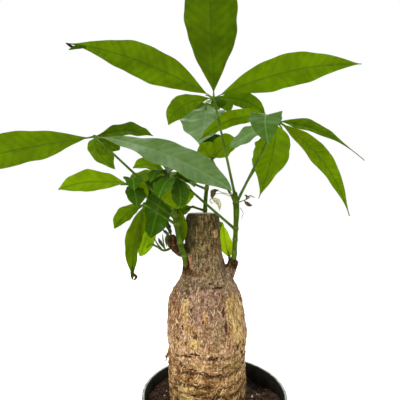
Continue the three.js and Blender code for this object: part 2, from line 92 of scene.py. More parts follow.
# Gaps to the pot's wall: of its surface, of its lowest ring, and of crumbs and fibres
SOIL_GAP = 0.3
SOIL_DEEP_GAP = 0.6
SOIL_FROM_WALL = 1.5
HOLLOW_CENTRE = (46.0, 34.0)
HOLLOW_WIDTH = 17.0
HOLLOW_DEPTH = 9.0
# The middle, along x, and the radius of the soil that the trunk covers
COVERED_SOIL = (-6.0, 34.0)
CRUMBS = 1500
CRUMB_RADII = (0.35, 1.7)
CRUMB_STRETCH = (0.6, 1.25)
CRUMB_LUMP = 0.28
PALE_CRUMBS = 0.035
SOIL_FIBRES = 170
SOIL_FIBRE_LENGTHS = (3.0, 10.0)
SOIL_FIBRE_RADII = (0.14, 0.42)
SOIL_FIBRE_BOW = 0.25
SOIL_FIBRE_TILTS = (-0.05, 0.18)
# A fibre whose end is further than this from the pot's middle is left out
SOIL_FIBRE_REACH = 59.0
PALE_FIBRES = 0.15

# Trunk: height, left edge and right edge seen from the front
TRUNK_OUTLINE = [
    (84, -35.8, 24.2), (88, -37, 25.5), (105, -39, 27.3), (123, -41, 28.2), (141, -41.4, 27.5),
    (151, -40.9, 27.6), (168, -42.4, 28.8), (178, -42.6, 27.2), (196, -41.2, 25.4),
    (205, -37.8, 22.6), (217, -31, 16.6), (228, -27.2, 10.4), (240, -26.2, 7), (251, -26.6, 5.6),
    (269, -25.6, 4.8), (275.7, -24.8, 4.3),
]
TRUNK_SIDES = 128
TRUNK_STEP = 1.5
TRUNK_VOXEL = 0.75
TRUNK_SMOOTHING = 6
STUB_STEP = 1.5
STUB_SIDES = 32
CUT_EDGE = 1.5
# Flutes along it: waves around it, with how many, their share and their start in radians. They
# get shallower between two heights.
FLUTE_DEPTH = 0.55
NECK_FLUTE_SHARE = 0.35
NECK_FLUTES = (190, 225)
FLUTES = [(5, 1, 0.6), (8, 0.6, 2)]
# Stubs on its shoulder: points with their radius
TRUNK_STUBS = [
    [(9, -3, 214, 7), (13.6, -4.5, 224, 5.6), (16.7, -5, 231, 4.5)],
    [(-19, -8, 213, 8), (-23.4, -11, 221, 5.4), (-25.2, -12.2, 229, 3)],
    [(-7, 12, 213, 7.5), (-6.4, 17, 222, 5.8), (-6.3, 20, 229, 4.4)],
    [(-17, -2, 235, 6.5), (-25, -3, 240.5, 6), (-32, -3, 243.5, 5.6), (-38.5, -3, 251.5, 4.8)],
]
SHOOT_COLLARS = [(16.7, -5, 231), (-25.4, -12.2, 229), (-6.3, 20, 229)]
DEAD_STUB = (-36, -3, 249)
# Dry stems on the dead stub and beside the right shoot: points with their radius, then how mossy
# the first ones are and how faded the others
DRY_STEMS = [
    ([(-37, -3, 245, 1.2), (-44.6, -8, 242.7, 1.1), (-50, -13, 246.6, 0.95), (-55, -17, 249.4, 0.8),
      (-58, -19, 247, 0.6)], 0.8),
    ([(-47, -10, 244.5, 0.8), (-50.5, -11.5, 249.5, 0.65), (-52.5, -12, 253.5, 0.45)], 0.8),
]
WITHERED_STEMS = [
    ([(15.7, -7, 292.8, 0.5), (8.4, -10, 293.7, 0.4), (2.1, -12, 295.8, 0.35)], 0.7),
    ([(14.7, -8, 290.6, 0.4), (6.5, -11, 293.2, 0.35), (1.2, -13, 292.7, 0.3)], 0.8),
    ([(-1.4, -12, 290.1, 0.5), (-4.1, -13, 287.5, 0.45), (-2.3, -13, 284.4, 0.4)], 0.8),
    ([(21.8, -8, 285.7, 0.5), (26.9, -10, 287.5, 0.4), (31.1, -11, 289.7, 0.3)], 0.1),
    ([(23.1, -8, 280.4, 0.35), (25.4, -8, 276, 0.3), (24, -8, 270.6, 0.2)], 0.5),
]
# Bud scales on the dead stub and withered leaf bits beside the right shoot: the hub, a leaflet as
# in the table of leaves but without its tone, and how mossy or how faded it is
BUD_SCALES = [
    ((-43.5, -7, 244), (-2.5, 1, 13, -0.8, 0, 0.2, 4.5, 25, 0.5), 1),
    ((-44, -7, 244), (-6, 2, 9.5, -1, 0, 0.5, 3.5, -30, 0.5), 1),
    ((-42.5, -6, 246), (1.5, 2, 12, -1, 0, 0.5, 3, 40, 0.5), 1),
    ((-37.5, -5, 254), (-5, 3, 16, -1.5, 0, 0.5, 9, 10, 0.5), 1),
    ((-39, -5, 253), (-8, 3, 8, -0.5, 0, 1, 5, -10, 0.5), 1),
]
WITHERED_BLADES = [
    ((3, -12, 296.3), (-4.4, -1, -7.4, -1.8, -0.5, 1.1, 7, 60, 0.5), 0),
    ((-3.2, -12, 288.4), (7.9, 0, -10.5, 1.7, -0.5, 2.6, 6, -50, 0.45), 0.9),
    ((26.1, -9, 287.5), (6.9, -1, -4.8, -0.6, -1.5, -1.1, 5, 40, 0.5), 0),
    ((28.6, -10, 288.4), (6.4, -1, 0.9, -0.7, -0.5, 2.2, 3, 20, 0.5), 0.2),
    ((27.7, -10, 287.5), (-1.3, 0, 4.4, 1.5, 0, 0.4, 3, 30, 0.5), 0),
]
DRY_STEP = 0.8
DRY_SIDES = 10
DRY_LUMP = 0.25
CRUMPLE = 0.5
# A lip of bark beside the left shoot, and a flake that stands off the left side of the foot
BARK_LIP = [(-24.5, -10.2, 243, 0.7), (-22.5, -12, 238, 1.1), (-21, -13.4, 233, 1.2),
            (-20, -14.4, 229, 0.9)]
BARK_FLAKE = [(-40.6, -4, 153, 1.1), (-42.2, -5, 149, 1.1), (-43.6, -5, 144, 1.0),
              (-44.8, -5, 139, 0.8)]
# Folds around the foot: height and depth
RING_FOLDS = [(106, 1), (112.5, 1.1), (120, 1.2), (127.3, 1.1), (134.7, 1.2), (144.4, 1),
              (151.5, 0.6), (159, 0.4)]
FOLD_HALF_WIDTH = 2.0
# How far above each fold its painted shade reaches
FOLD_SHADE_REACH = 5.0
FOLD_SWING_FADE = 12.0
FOOT_MIDDLE = -7.0
# Waves of the folds around the trunk, in the form of the flutes
FOLD_SWINGS = [(2, 1.2, 1.0), (3, 0.9, 0.4)]
# Height of each kind of relief in the bark
PLATE_STEP = 0.42
STREAK_HEIGHT = 0.3
FINE_HEIGHT = 0.22
CUT_HEIGHT = 0.15
STRAW_SINK = 0.3
COLLAR_STREAK = 0.5
FRAY_HEIGHT = 1.6
CRACK_SINK = 0.45
KNOT_SINK = 0.8
# Where the bark's regions fade: the front by its y, the others by height, the saw cut also by how
# far up it faces, and the last three by their distance from a place
FRONT = (4, -6)
BELLY_TOP = (200, 228)
FOOT = (162, 150)
NECK = (210, 235)
CUT = (273.5, 274.6)
CUT_FACING = (0.75, 0.9)
LIP = (243, 236)
LIP_REACH = (2, 1.4)
COLLAR_REACH = (7.5, 5)
STUB_REACH = (11, 8)
# Loose fibres on the bark; below a height most of them lie across, along the folds
FIBRE_COUNT = 2000
FIBRE_SPAN = (100.0, 207.0)
FIBRE_REACH = (2.0, 6.0)
FIBRE_RADII = (0.16, 0.32)
FIBRE_FOLDED = 160.0
FIBRE_SIDES = 5
FIBRE_JOINTS = 5
# Marks on the front of the bark: x, height, half width, half height
BARK_MARKS = {
    "straw": [(13.5, 201, 5, 8), (17, 192, 7, 10), (18.5, 180, 6, 9), (21, 170, 3.5, 8),
              (-25, 195, 2.8, 10), (-17.7, 170, 4.6, 4.4), (-27, 127, 7, 7), (15, 153, 9, 5),
              (17, 141, 7, 3), (-20, 113, 9, 4)],
    "mauve": [(-7, 199, 13, 9), (-16, 191, 5, 9), (2, 207, 9, 5), (-9, 208, 12, 4)],
    "grey": [(-4, 222, 8, 6), (1.5, 179, 6, 12), (10.5, 214.6, 6, 4), (-29.5, 218, 2.5, 5),
             (-3, 234, 8, 6)],
    "rust": [(-34, 192, 5, 15), (1.5, 246, 1.8, 5), (-8.8, 138, 13, 4), (11.5, 176, 2.5, 11),
             (5.5, 207, 1.3, 1.3), (-33, 150, 4, 6)],
    # Dark brown bark; the first two spots, under the left shoot's collar, are painted shade
    "umber_and_shade": [(-18, 224.5, 7, 2.6), (-27, 222, 3, 3), (10, 231, 4, 4), (-43.5, 143, 3, 9),
              (-13, 146, 7, 1.6)],
    # Painted shade down the left side of the neck
    "left_neck_shade": [(-25, 256, 4, 26), (-20, 262, 3.5, 16)],
    "bright": [(0.6, 257.5, 2.2, 3.6), (-9, 190, 2, 9), (-21, 181, 6, 5), (3, 151, 8, 3.4),
               (13, 138, 12, 4.5), (14, 129, 11, 4), (-15, 151, 8, 2.5)],
}
# Dark knots and slits: x, height, half width, half height
KNOTS = [
    (-3.1, 158.8, 4, 1.8), (19.1, 164, 1.7, 2.8), (23.5, 157, 1.6, 1.6), (-10.4, 188, 1.3, 1.8),
    (-16.9, 176.5, 1.5, 2.6), (8.6, 184, 1.3, 6.5), (1.5, 213.6, 4.6, 1), (-4.5, 217, 2.2, 0.9),
    (-23.5, 158.8, 5, 1), (-16.9, 161.4, 4, 1), (-25.5, 205.5, 1.5, 1),
    (-18.5, 127.5, 2.8, 1.2), (-12, 128.9, 2, 1), (0.2, 128, 2.6, 1), (17.3, 124.5, 1.4, 1.1),
    (-26.9, 149.8, 4.4, 1.1), (-20, 148.6, 4, 0.9), (-3.1, 144.3, 5.2, 0.9), (4.3, 144.3, 2.4, 0.9),
    (-33, 157.6, 3, 1.2), (-27.5, 181, 1, 3), (-20.5, 195, 0.9, 4), (6.5, 195, 1, 4),
    (-11.5, 249, 0.9, 0.9), (-2.5, 248, 1.2, 0.9),
]

# Shoots: points with their radius; the last list has the heights of their leaf scars
SHOOTS = {
    "shoot_right": ([(17, -5, 228, 2.7), (18, -5, 240, 2.2), (19.2, -5, 262, 2.1),
                     (19.8, -5, 279, 2.7), (18.5, -5, 293, 2.3)],
                    [240, 252, 262, 285]),
    "shoot_left": ([(-25, -12, 226, 2.6), (-26.3, -12.6, 238, 2.3), (-29.4, -14, 248, 2.5),
                    (-31.9, -15, 261, 2.6), (-34.5, -15, 275, 2.5), (-38, -14, 286, 2)],
                   [238, 250, 266, 273, 281]),
    "shoot_back": ([(-6.3, 19.6, 226, 2.3), (-8, 18, 264, 2), (-7, 19, 293, 1.9),
                    (-3, 22, 319, 1.6)],
                   [245, 262, 278, 299, 315]),
}
SHOOT_SIDES = 28
SHOOT_STEP = 0.9
SHOOT_LUMP = 0.15
SCAR_SWELL = 0.45
SCAR_WIDTH = 1.6

# Leaves: the stalk's root, a bend where it has one, the hub, then the leaflets. A leaflet is
# its tip seen from the hub (x, y, z), how far its rib bows out of a straight line (x, y, z), its
# width, its turn about its own length in degrees, its widest place from 0 at the hub to 1 at
# the tip, and its tone from deep to bright green. The tone is partly the leaflet's own green and
# partly painted light: deep where a leaflet lies in shade, bright where light comes through it,
# and on upper sides pale grey-green as a painted sheen.
LEAVES = {
    "leaf_right_crown": ([(18.6, -5, 291), (0, 5, 382)], [
        (-7, -50, 100, 0.3, 2.2, 2.4, 46, 0, 0.57, 0.25),
        (-132.4, -10, 45.8, -3.1, 0, 9.7, 31, 62, 0.41, 0.45),
        (131.9, -10, 27.4, 1.4, 0, 8.9, 30, -62, 0.46, 0.55),
        (-46.7, 50, -13.8, -7.6, 2, 7.1, 21, 48, 0.55, 0.55),
        (57.1, 50, -1.5, 2.9, 2, 6.4, 17, -48, 0.55, 0.5),
        (10, 42, 2, 0.1, 0.3, 3, 14, 0, 0.57, 0.2),
    ]),
    "leaf_right_outer": ([(19.5, -5, 284), (56, -5, 358)], [
        (86, 15, -33.3, -0.1, 1.5, 9.4, 16, -20, 0.3, 0.45),
        (60.7, -10, -84.4, 9.1, 2, 7.2, 19, -45, 0.42, 0.6),
        (-7.5, 50, -68.9, 5.2, 6, 3.5, 38, 0, 0.4, 0.65),
        (-40, 30, -18, -0.7, 0.5, 0.8, 22, -60, 0.57, 0.6),
        (-69.8, 30, -11.8, 0.2, 2, 13.1, 17, 45, 0.5, 0.7),
        (-19.7, -60, -30.4, -6.9, -6, 10.9, 26, 0, 0.55, 0.25),
    ]),
    "leaf_right_middle": ([(18.5, -4.5, 286), (-1, 30, 328)], [
        (29.8, 9, 18.6, -2.3, 0.5, 4, 26, -62, 0.5, 0.75),
        (-11.8, -5, 15.2, -0.5, -1.5, 1.3, 20, 66, 0.5, 0.7),
        (2.1, 24, 30.3, 0.7, 2, 0.1, 25, 0, 0.66, 0),
        (18, 50, 12, 0, -0.1, 3, 18, 0, 0.57, 0.4),
    ]),
    "leaf_right_low": ([(19, -5, 261), (-34, -25, 307)], [
        (16.7, -6, -5.2, 1.3, -1, 4.1, 17, -60, 0.5, 0),
        (4.9, -8, -25.6, 2.4, -3.5, 1.4, 14.5, 32, 0.6, 0.1),
        (1.3, 3, -27.1, 1.3, -1, 1.6, 28, -30, 0.6, 0.9),
        (24, 10, 2, 0, 0, 3, 16, 30, 0.57, 0.1),
        (-10, -26, -18, -0.9, -2.3, 3.2, 18, 0, 0.57, 0.05),
    ]),
    "leaf_right_back": ([(19.6, -5, 283), (30, 30, 298), (62, 54, 346)], [
        (16, 76, -26, 0.7, 3.6, 8.3, 30, 0, 0.57, 0.5),
        (3, 74, -30, 0.2, 3.7, 7.1, 26, 0, 0.57, 0.5),
        (21, 66, -11, 0.5, 1.7, 6.8, 24, 0, 0.57, 0.5),
        (1, 60, 3, 0, 0.3, 6, 22, 0, 0.57, 0.5),
    ]),
    "leaf_left_outer": ([(-36, -14.6, 279), (-104, -15, 342.5)], [
        (-133.8, -10, -29.9, -0.8, -1, 1.9, 30.5, 55, 0.48, 0.52),
        (115.2, -35, -47.8, 2.7, -0.5, 6.7, 34, 38, 0.6, 0.52),
        (46.3, 30, 6.2, -0.3, 0, 5.2, 20, -25, 0.5, 0.35),
        (9.9, 30, -25.4, -6.4, 2, 0.8, 24, 0, 0.55, 0.5),
        (18.3, 13, -9.7, 1.8, -1.5, 0.1, 19, -55, 0.55, 0.5),
    ]),
    "leaf_left_low": ([(-34.6, -15, 272), (-72, -20, 301)], [
        (-57.2, -10, -4.9, -2.5, 0, 4.4, 21, 55, 0.52, 0.85),
        (8, -14, -19, 1.6, -2.8, 2.4, 17, 0, 0.57, 0.05),
        (14.9, -5, -12.7, 2.2, -1, 2.5, 14, -60, 0.5, 0.9),
        (8, -24, -6, 0.6, -1.8, 6.8, 15, 0, 0.57, 0.05),
    ]),
    "leaf_left_hanging": ([(-33, -15, 266), (-60, -22, 284)], [
        (-27.6, 10, -21.4, -1.8, 0, 3, 15, 40, 0.55, 0.6),
        (-9.8, 2, -65.5, -3.4, 0, 1.4, 20, 20, 0.45, 0.6),
        (-6.7, 8, -34.8, -1.3, 2, -1.6, 13, 0, 0.5, 0.7),
    ]),
    "leaf_left_top": ([(-38, -14, 285), (-41, -10, 310)], [
        (-34.1, 16, 7.2, 0, 0, 5.6, 18, 35, 0.5, 0.8),
        (-18.5, 24, 15.6, 2.5, 1, 2.8, 22, 35, 0.5, 0.8),
        (10, 34, 12, -0.4, -1.2, 4.9, 26, 0, 0.57, 0.5),
        (-12, -22, -8, -1, -1.8, 5.6, 14, 0, 0.57, 0.05),
        (-18.9, 14, -25.3, -2.3, 2, 2.8, 26, 0, 0.5, 0.05),
        (-15.9, 3, -56.3, -0.8, 1.5, -0.6, 27, -88, 0.57, 0),
        (-28.3, 20, -75.2, -1.7, 2, -5.1, 17, 80, 0.66, 0.95),
    ]),
    "leaf_left_inner": ([(-36.4, -14.4, 280), (-33.5, -8, 283)], [
        (4.4, -1.5, -34.3, 3.8, -1.8, -1.2, 7.5, -120, 0.5, 0.7),
        (3, 14, -16, 0.2, 0.9, 0.5, 8, 0, 0.57, 0.4),
    ]),
    "leaf_back_crown": ([(-3.4, 21.6, 314), (-6, 46, 340), (-6, 68, 394.5)], [
        (-7.3, -34, -50.8, 1.7, 5, 3.6, 51, 0, 0.5, 0.65),
        (30, 50, 4, 0, 0, 8, 30, 0, 0.57, 0.4),
        (-26, 56, 0, -0.3, 0.6, 8, 32, 0, 0.57, 0.4),
        (4, 62, -8, 0.1, 1.6, 7.9, 30, 0, 0.57, 0.4),
    ]),
    "leaf_back_left": ([(-6.4, 19.4, 298), (-50, 78, 318)], [
        (-50, 26, -14, -2.2, 1.1, 7.6, 26, 0, 0.57, 0.4),
        (-34, 60, -16, -1.3, 2.4, 8.6, 32, 0, 0.57, 0.4),
        (4, 66, -18, 0.2, 3, 8.5, 34, 0, 0.57, 0.4),
        (30, 46, -14, 1.4, 2.1, 7.6, 26, 0, 0.57, 0.4),
    ]),
    "leaf_back_side": ([(-7.6, 18.4, 277), (-20, 20, 281)], [
        (-16.8, -4, -6.4, 0.1, 1, 0, 11, 66, 0.5, 0.6),
        (-8, 14, -4, -0.3, 0.6, 1.9, 9, 0, 0.57, 0.4),
    ]),
    "leaf_back_low": ([(-8, 18.2, 262), (-5, 46, 270)], [
        (-12, 30, -34, -1.7, 4.3, 3.8, 22, 0, 0.57, 0.4),
        (12, 30, -30, 1.6, 4.1, 4.1, 22, 0, 0.57, 0.4),
        (0, 46, -14, 0, 2.5, 6.6, 24, 0, 0.57, 0.4),
    ]),
    "leaf_right_sprout": ([(17.4, -5, 236.5), (14.6, 7, 232.5)], [
        (-6, 5, 34, -0.8, 0.7, 0.1, 14, 150, 0.42, 1),
        (4, 16, 14, -0.3, -1.1, 1.7, 9, 0, 0.57, 0.9),
    ]),
}
YOUNG_LEAF = "leaf_right_sprout"
STALK_ROOT_RADIUS = 1.25
STALK_END_RADIUS = 0.9
STALK_SIDES = 16
STALK_STEP = 1.6
STALK_SWELL = 0.35
STALK_SWELL_LENGTH = 4.0

# Leaflet blades
OUTLINE_RISE = 1.2
BARE_BASE = 0.04
FOLD = 0.22
FOLD_EASE = 0.3
WAVE = 0.04
WAVES_PER_BLADE = 3.3
EDGE_RIPPLE = 0.035
EDGE_RIPPLES_PER_BLADE = 3.1
EDGE_PHASE = 1.7
EDGE_PHASE_ACROSS = 2.6
FINE_RIPPLES = 2.3
FINE_RIPPLE_SHARE = 0.4
PHASE_STEP = 2.1
PHASE_ACROSS = 1.9
BLADE_STEP = 1.9
BLADE_ROWS = (16, 62)
BLADE_HALF_COLUMNS = [0.025, 0.06, 0.12, 0.2, 0.3, 0.41, 0.53, 0.65, 0.77, 0.88, 0.96, 1.0]
BLADE_LEAST_HALF = 0.4
BLADE_THICKNESS = 0.38
MIDRIB_HEIGHT = 0.75
MIDRIB_WIDTH = 0.7
VEIN_SPACING = 8.0
VEIN_LEAN = 0.75
QUILT_HEIGHT = 0.22
# Joint of the leaflets: how far along each of them, and its radius there
KNUCKLE = [(-0.6, 1.15), (1.0, 1.1), (2.6, 0.9), (5.0, 0.65), (8.0, 0.45)]
# Dry leaflets: the leaf and the leaflet's number in it, how dry its tip is, and the scraps at
# its torn end, each with its own dryness and its points from the tip (ahead, aside, radius)
TORN_TIPS = {
    ("leaf_right_crown", 1): (0.5, [
        (0, [(-16, -2.6, 0.8), (-11, -0.9, 1.7), (-7.5, 1.2, 1.4), (-5.4, 3, 0.9), (-3.8, 4.4, 0.4)]),
        (0.5, [(-7.5, 0.6, 0.9), (-5.5, 1.1, 1.1), (-3.5, 0.7, 1.2), (-1, 0.1, 0.9), (0.5, 0, 0.4)]),
    ]),
    ("leaf_left_hanging", 1): (1, [
        (0, [(-12, -2.6, 1), (-8, -2, 1.5), (-4, -1.2, 1.4), (-2, -0.9, 0.7)]),
        (1, [(-6.5, -1.2, 0.8), (-5, 1.2, 1.2), (-3.8, 2.3, 1.2), (-1.5, 1.1, 0.8)]),
    ]),
}
# Where along a dry leaflet its dry tip begins, and where it is as dry as it gets
DRY_SPAN = (0.93, 0.98)
SCRAP_STEP = 0.5

UP = np.array([0.0, 0.0, 1.0])
rng = np.random.default_rng(SEED)


# Small helpers

def unit(vectors):
    vectors = np.asarray(vectors, float)
    return vectors / np.maximum(np.linalg.norm(vectors, axis=-1, keepdims=True), 1e-12)


def fade(values, low, high):
    """0 below low and 1 above high, with a soft step between; the other way round if low > high."""
    t = np.clip((np.asarray(values, float) - low) / (high - low), 0, 1)
    return t * t * (3 - 2 * t)


def bell(values, width=1.0):
    """1 at 0, falling off on both sides to about a third at the width."""
    return np.exp(-(values / width)**2)


def cloud(points, size, octaves=3, shift=0.0):
    """Soft noise at points, about -1 to 1. size is its grain in millimetres, one number or three."""
    scaled = np.asarray(points, float) / size + shift
    return np.array([noise.fractal(Vector(p), 0.8, 2.0, octaves) for p in scaled])


def along(table, height):
    """Values of a table at a height, on a smooth curve through its rows."""
    rows = np.array(table, float)
    row = int(np.clip(np.searchsorted(rows[:, 0], height) - 1, 0, len(rows) - 2))
    start, end = rows[row], rows[row + 1]
    before, after = rows[max(row - 1, 0)], rows[min(row + 2, len(rows) - 1)]
    span = end[0] - start[0]
    t = np.clip((height - start[0]) / span, 0, 1)
    slope_start = (end[1:] - before[1:]) / (end[0] - before[0]) * span
    slope_end = (after[1:] - start[1:]) / (after[0] - start[0]) * span
    return (start[1:] * (2 * t**3 - 3 * t**2 + 1) + slope_start * (t**3 - 2 * t**2 + t)
            + end[1:] * (3 * t**2 - 2 * t**3) + slope_end * (t**3 - t**2))


def run_along(points):
    """How far along a line each of its points is."""
    return np.concatenate([[0], np.cumsum(np.linalg.norm(np.diff(points, axis=0), axis=1))])


def smooth_line(stations, step):
    """Points about a step apart on a smooth curve through the stations, with all their values."""
    stations = np.array(stations, float)
    places = run_along(stations[:, :3])
    table = np.column_stack([places, stations])
    count = max(int(places[-1] / step), 2)
    return np.array([along(table, place) for place in np.linspace(0, places[-1], count + 1)])


def ring_faces(rows, sides):
    """Faces of the skin between rings of points that follow one another."""
    j = np.arange(sides)
    after = (j + 1) % sides
    low = sides * np.arange(rows - 1)[:, None]
    high = low + sides
    return np.stack([low + j, low + after, high + after, high + j], axis=-1).reshape(-1, 4)


def loft(rings):
    """A closed skin over rings (rows, sides, 3), with both ends closed to their middle."""
    rows, sides = rings.shape[:2]
    points = np.vstack([rings.reshape(-1, 3), rings[0].mean(0), rings[-1].mean(0)])
    j = np.arange(sides)
    after = (j + 1) % sides
    count = rows * sides
    last = count - sides
    foot = np.column_stack([after, j, np.full(sides, count)])
    top = np.column_stack([last + j, last + after, np.full(sides, count + 1)])
    return points, ring_faces(rows, sides).tolist() + foot.tolist() + top.tolist()


def around(sides):
    """Even angles round a circle."""
    return np.linspace(0, 2 * math.pi, sides, endpoint=False)


def ring(angles, radius, height, middle=0.0):
    """Points at angles round a vertical axis that crosses the x axis at its middle."""
    x, y = middle + radius * np.cos(angles), radius * np.sin(angles)
    return np.column_stack([x, y, np.full(len(angles), height)])


def tube(line, sides):
    """A round stem along points that carry their radius, with rounded ends."""
    centres, radii = line[:, :3], line[:, 3]
    forward = unit(np.gradient(centres, axis=0))
    across = unit(np.cross(forward[0], UP + 0.3))
    last = len(line) - 1
    stations = ([(0, -0.9, 0.45), (0, -0.5, 0.86)] + [(i, 0.0, 1.0) for i in range(last + 1)]
                + [(last, 0.5, 0.86), (last, 0.9, 0.45)])
    angles = around(sides)
    rings = []
    for i, push, share in stations:
        across = unit(across - forward[i] * (across @ forward[i]))
        other = np.cross(forward[i], across)
        centre = centres[i] + forward[i] * push * radii[i]
        spokes = np.outer(np.cos(angles), across) + np.outer(np.sin(angles), other)
        rings.append(centre + spokes * radii[i] * share)
    return loft(np.array(rings))


def shape(points, faces, look=0, **values):
    """A part of a mesh: its points, faces, the number of its material and values at its points."""
    return {"points": np.asarray(points, float), "faces": faces, "look": look, "values": values}


def make_mesh(name, shapes):
    """One mesh in metres from several shapes; every value becomes an attribute at its points."""
    points = np.vstack([s["points"] for s in shapes]) * MM
    faces, looks, start = [], [], 0
    for s in shapes:
        faces += [[v + start for v in face] for face in s["faces"]]
        looks += [s["look"]] * len(s["faces"]) if np.isscalar(s["look"]) else list(s["look"])
        start += len(s["points"])
    mesh = bpy.data.meshes.new(name)
    mesh.from_pydata(points.tolist(), [], faces)
    mesh.polygons.foreach_set("material_index", looks)
    for key in sorted({key for s in shapes for key in s["values"]}):
        column = [np.broadcast_to(s["values"].get(key, 0.0), len(s["points"])) for s in shapes]
        set_value(mesh, key, np.concatenate(column))
    return mesh


def set_value(mesh, key, values):
    attribute = mesh.attributes.get(key) or mesh.attributes.new(key, "FLOAT", "POINT")
    attribute.data.foreach_set("value", np.ascontiguousarray(values, np.float32))


def add_object(name, data, place=(0, 0, 0), turn=(0, 0, 0)):
    """A new object in the scene, at a place in millimetres."""
    made = bpy.data.objects.new(name, data)
    made.location = Vector(place) * MM
    made.rotation_euler = turn
    bpy.context.scene.collection.objects.link(made)
    return made


def finish_piece(name, made, materials, node, sharp=50):
    """Shows shapes or a mesh in place of a CAD node, on the object's one body."""
    mesh = make_mesh(name, made) if isinstance(made, list) else made
    piece = add_object(name, mesh)
    for material in materials:
        mesh.materials.append(material)
    mesh.shade_smooth()
    mesh.set_sharp_from_angle(angle=math.radians(sharp))
    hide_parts(node)
    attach(piece, "root")


# Materials

def colour(code):
    """A hexadecimal screen colour as the linear colour that shaders use."""
    screen = np.array([int(code[i:i + 2], 16) for i in (0, 2, 4)]) / 255
    linear = np.where(screen <= 0.04045, screen / 12.92, ((screen + 0.055) / 1.055) ** 2.4)
    return (*linear, 1.0)


def operation(name):
    """A way to write a Math node as a sum, product and so on of what nodes give."""
    return lambda first, *others: first.surface.math(name, first, *others)


class Output:
    """What a node of a material gives. Where that is a number, it is added to others, multiplied
    by them and so on in the usual way."""

    def __init__(self, surface, socket):
        self.surface, self.socket = surface, socket

    __add__, __sub__ = operation("ADD"), operation("SUBTRACT")
    __mul__, __truediv__ = operation("MULTIPLY"), operation("DIVIDE")
    __abs__ = operation("ABSOLUTE")


class Surface:
    """A material being made: short calls that add nodes and join them."""

    def __init__(self, name):
        self.material = bpy.data.materials.new(name)
        self.material.use_nodes = True
        self.tree = self.material.node_tree
        self.tree.nodes.clear()
        self.object_place = self.add("TexCoord", output="Object")

    def add(self, kind, inputs=(), output=0, **settings):
        node = self.tree.nodes.new("ShaderNode" + kind)
        for key, setting in settings.items():
            setattr(node, key, setting)
        for key, entry in dict(inputs).items():
            if isinstance(entry, Output):
                self.tree.links.new(entry.socket, node.inputs[key])
            elif entry is not None:
                node.inputs[key].default_value = colour(entry) if isinstance(entry, str) else entry
        return Output(self, node.outputs[output]) if node.outputs else None

    def place(self, size):
        """The object's own coordinates, scaled so that one unit is size millimetres."""
        scale = tuple(1 / (MM * np.broadcast_to(size, 3)))
        return self.add("VectorMath", {0: self.object_place, 1: scale}, operation="MULTIPLY")

    def value(self, key):
        return self.add("Attribute", output="Fac", attribute_name=key)

    def math(self, name, *numbers):
        return self.add("Math", dict(enumerate(numbers)), operation=name)

    def fade(self, number, low, high):
        return self.add("MapRange", {0: number, 1: low, 2: high}, interpolation_type="SMOOTHSTEP")

    def spread(self, number, low, high, first, last):
        """first where the number is low, last where it is high, and evenly between."""
        return self.add("MapRange", {0: number, 1: low, 2: high, 3: first, 4: last})

    def noise(self, size, detail=3.0, roughness=0.55, warp=0.0):
        inputs = {"Vector": self.place(size), "Scale": 1.0, "Detail": detail, "Roughness": roughness,
                  "Distortion": warp}
        return self.add("TexNoise", inputs, output="Fac")

    def cells(self, size, feature="F1"):
        inputs = {"Vector": self.place(size), "Scale": 1.0}
        return self.add("TexVoronoi", inputs, output="Distance", feature=feature)

    def mix(self, factor, first, second):
        return self.add("Mix", {0: factor, 6: first, 7: second}, output=2, data_type="RGBA")

    def blend(self, factor, first, second):
        return self.add("Mix", {0: factor, 2: first, 3: second}, data_type="FLOAT")

    def ramp(self, number, stops):
        made = self.add("ValToRGB", {0: number})
        ramp = made.socket.node.color_ramp
        while len(ramp.elements) < len(stops):
            ramp.elements.new(1.0)
        for element, (place, code) in zip(ramp.elements, stops):
            element.position = place
            element.color = colour(code)
        return made

    def bump(self, height, distance):
        return self.add("Bump", {"Height": height, "Distance": distance * MM, "Strength": 1.0})

    def solid(self, skin, roughness, gloss, normal=None):
        """The shader of a surface that lets no light through."""
        return self.add("BsdfPrincipled", {"Base Color": skin, "Roughness": roughness,
                                           "Specular IOR Level": gloss, "Normal": normal})

    def close(self, shader):
        """The finished material."""
        self.add("OutputMaterial", {"Surface": shader})
        return self.material


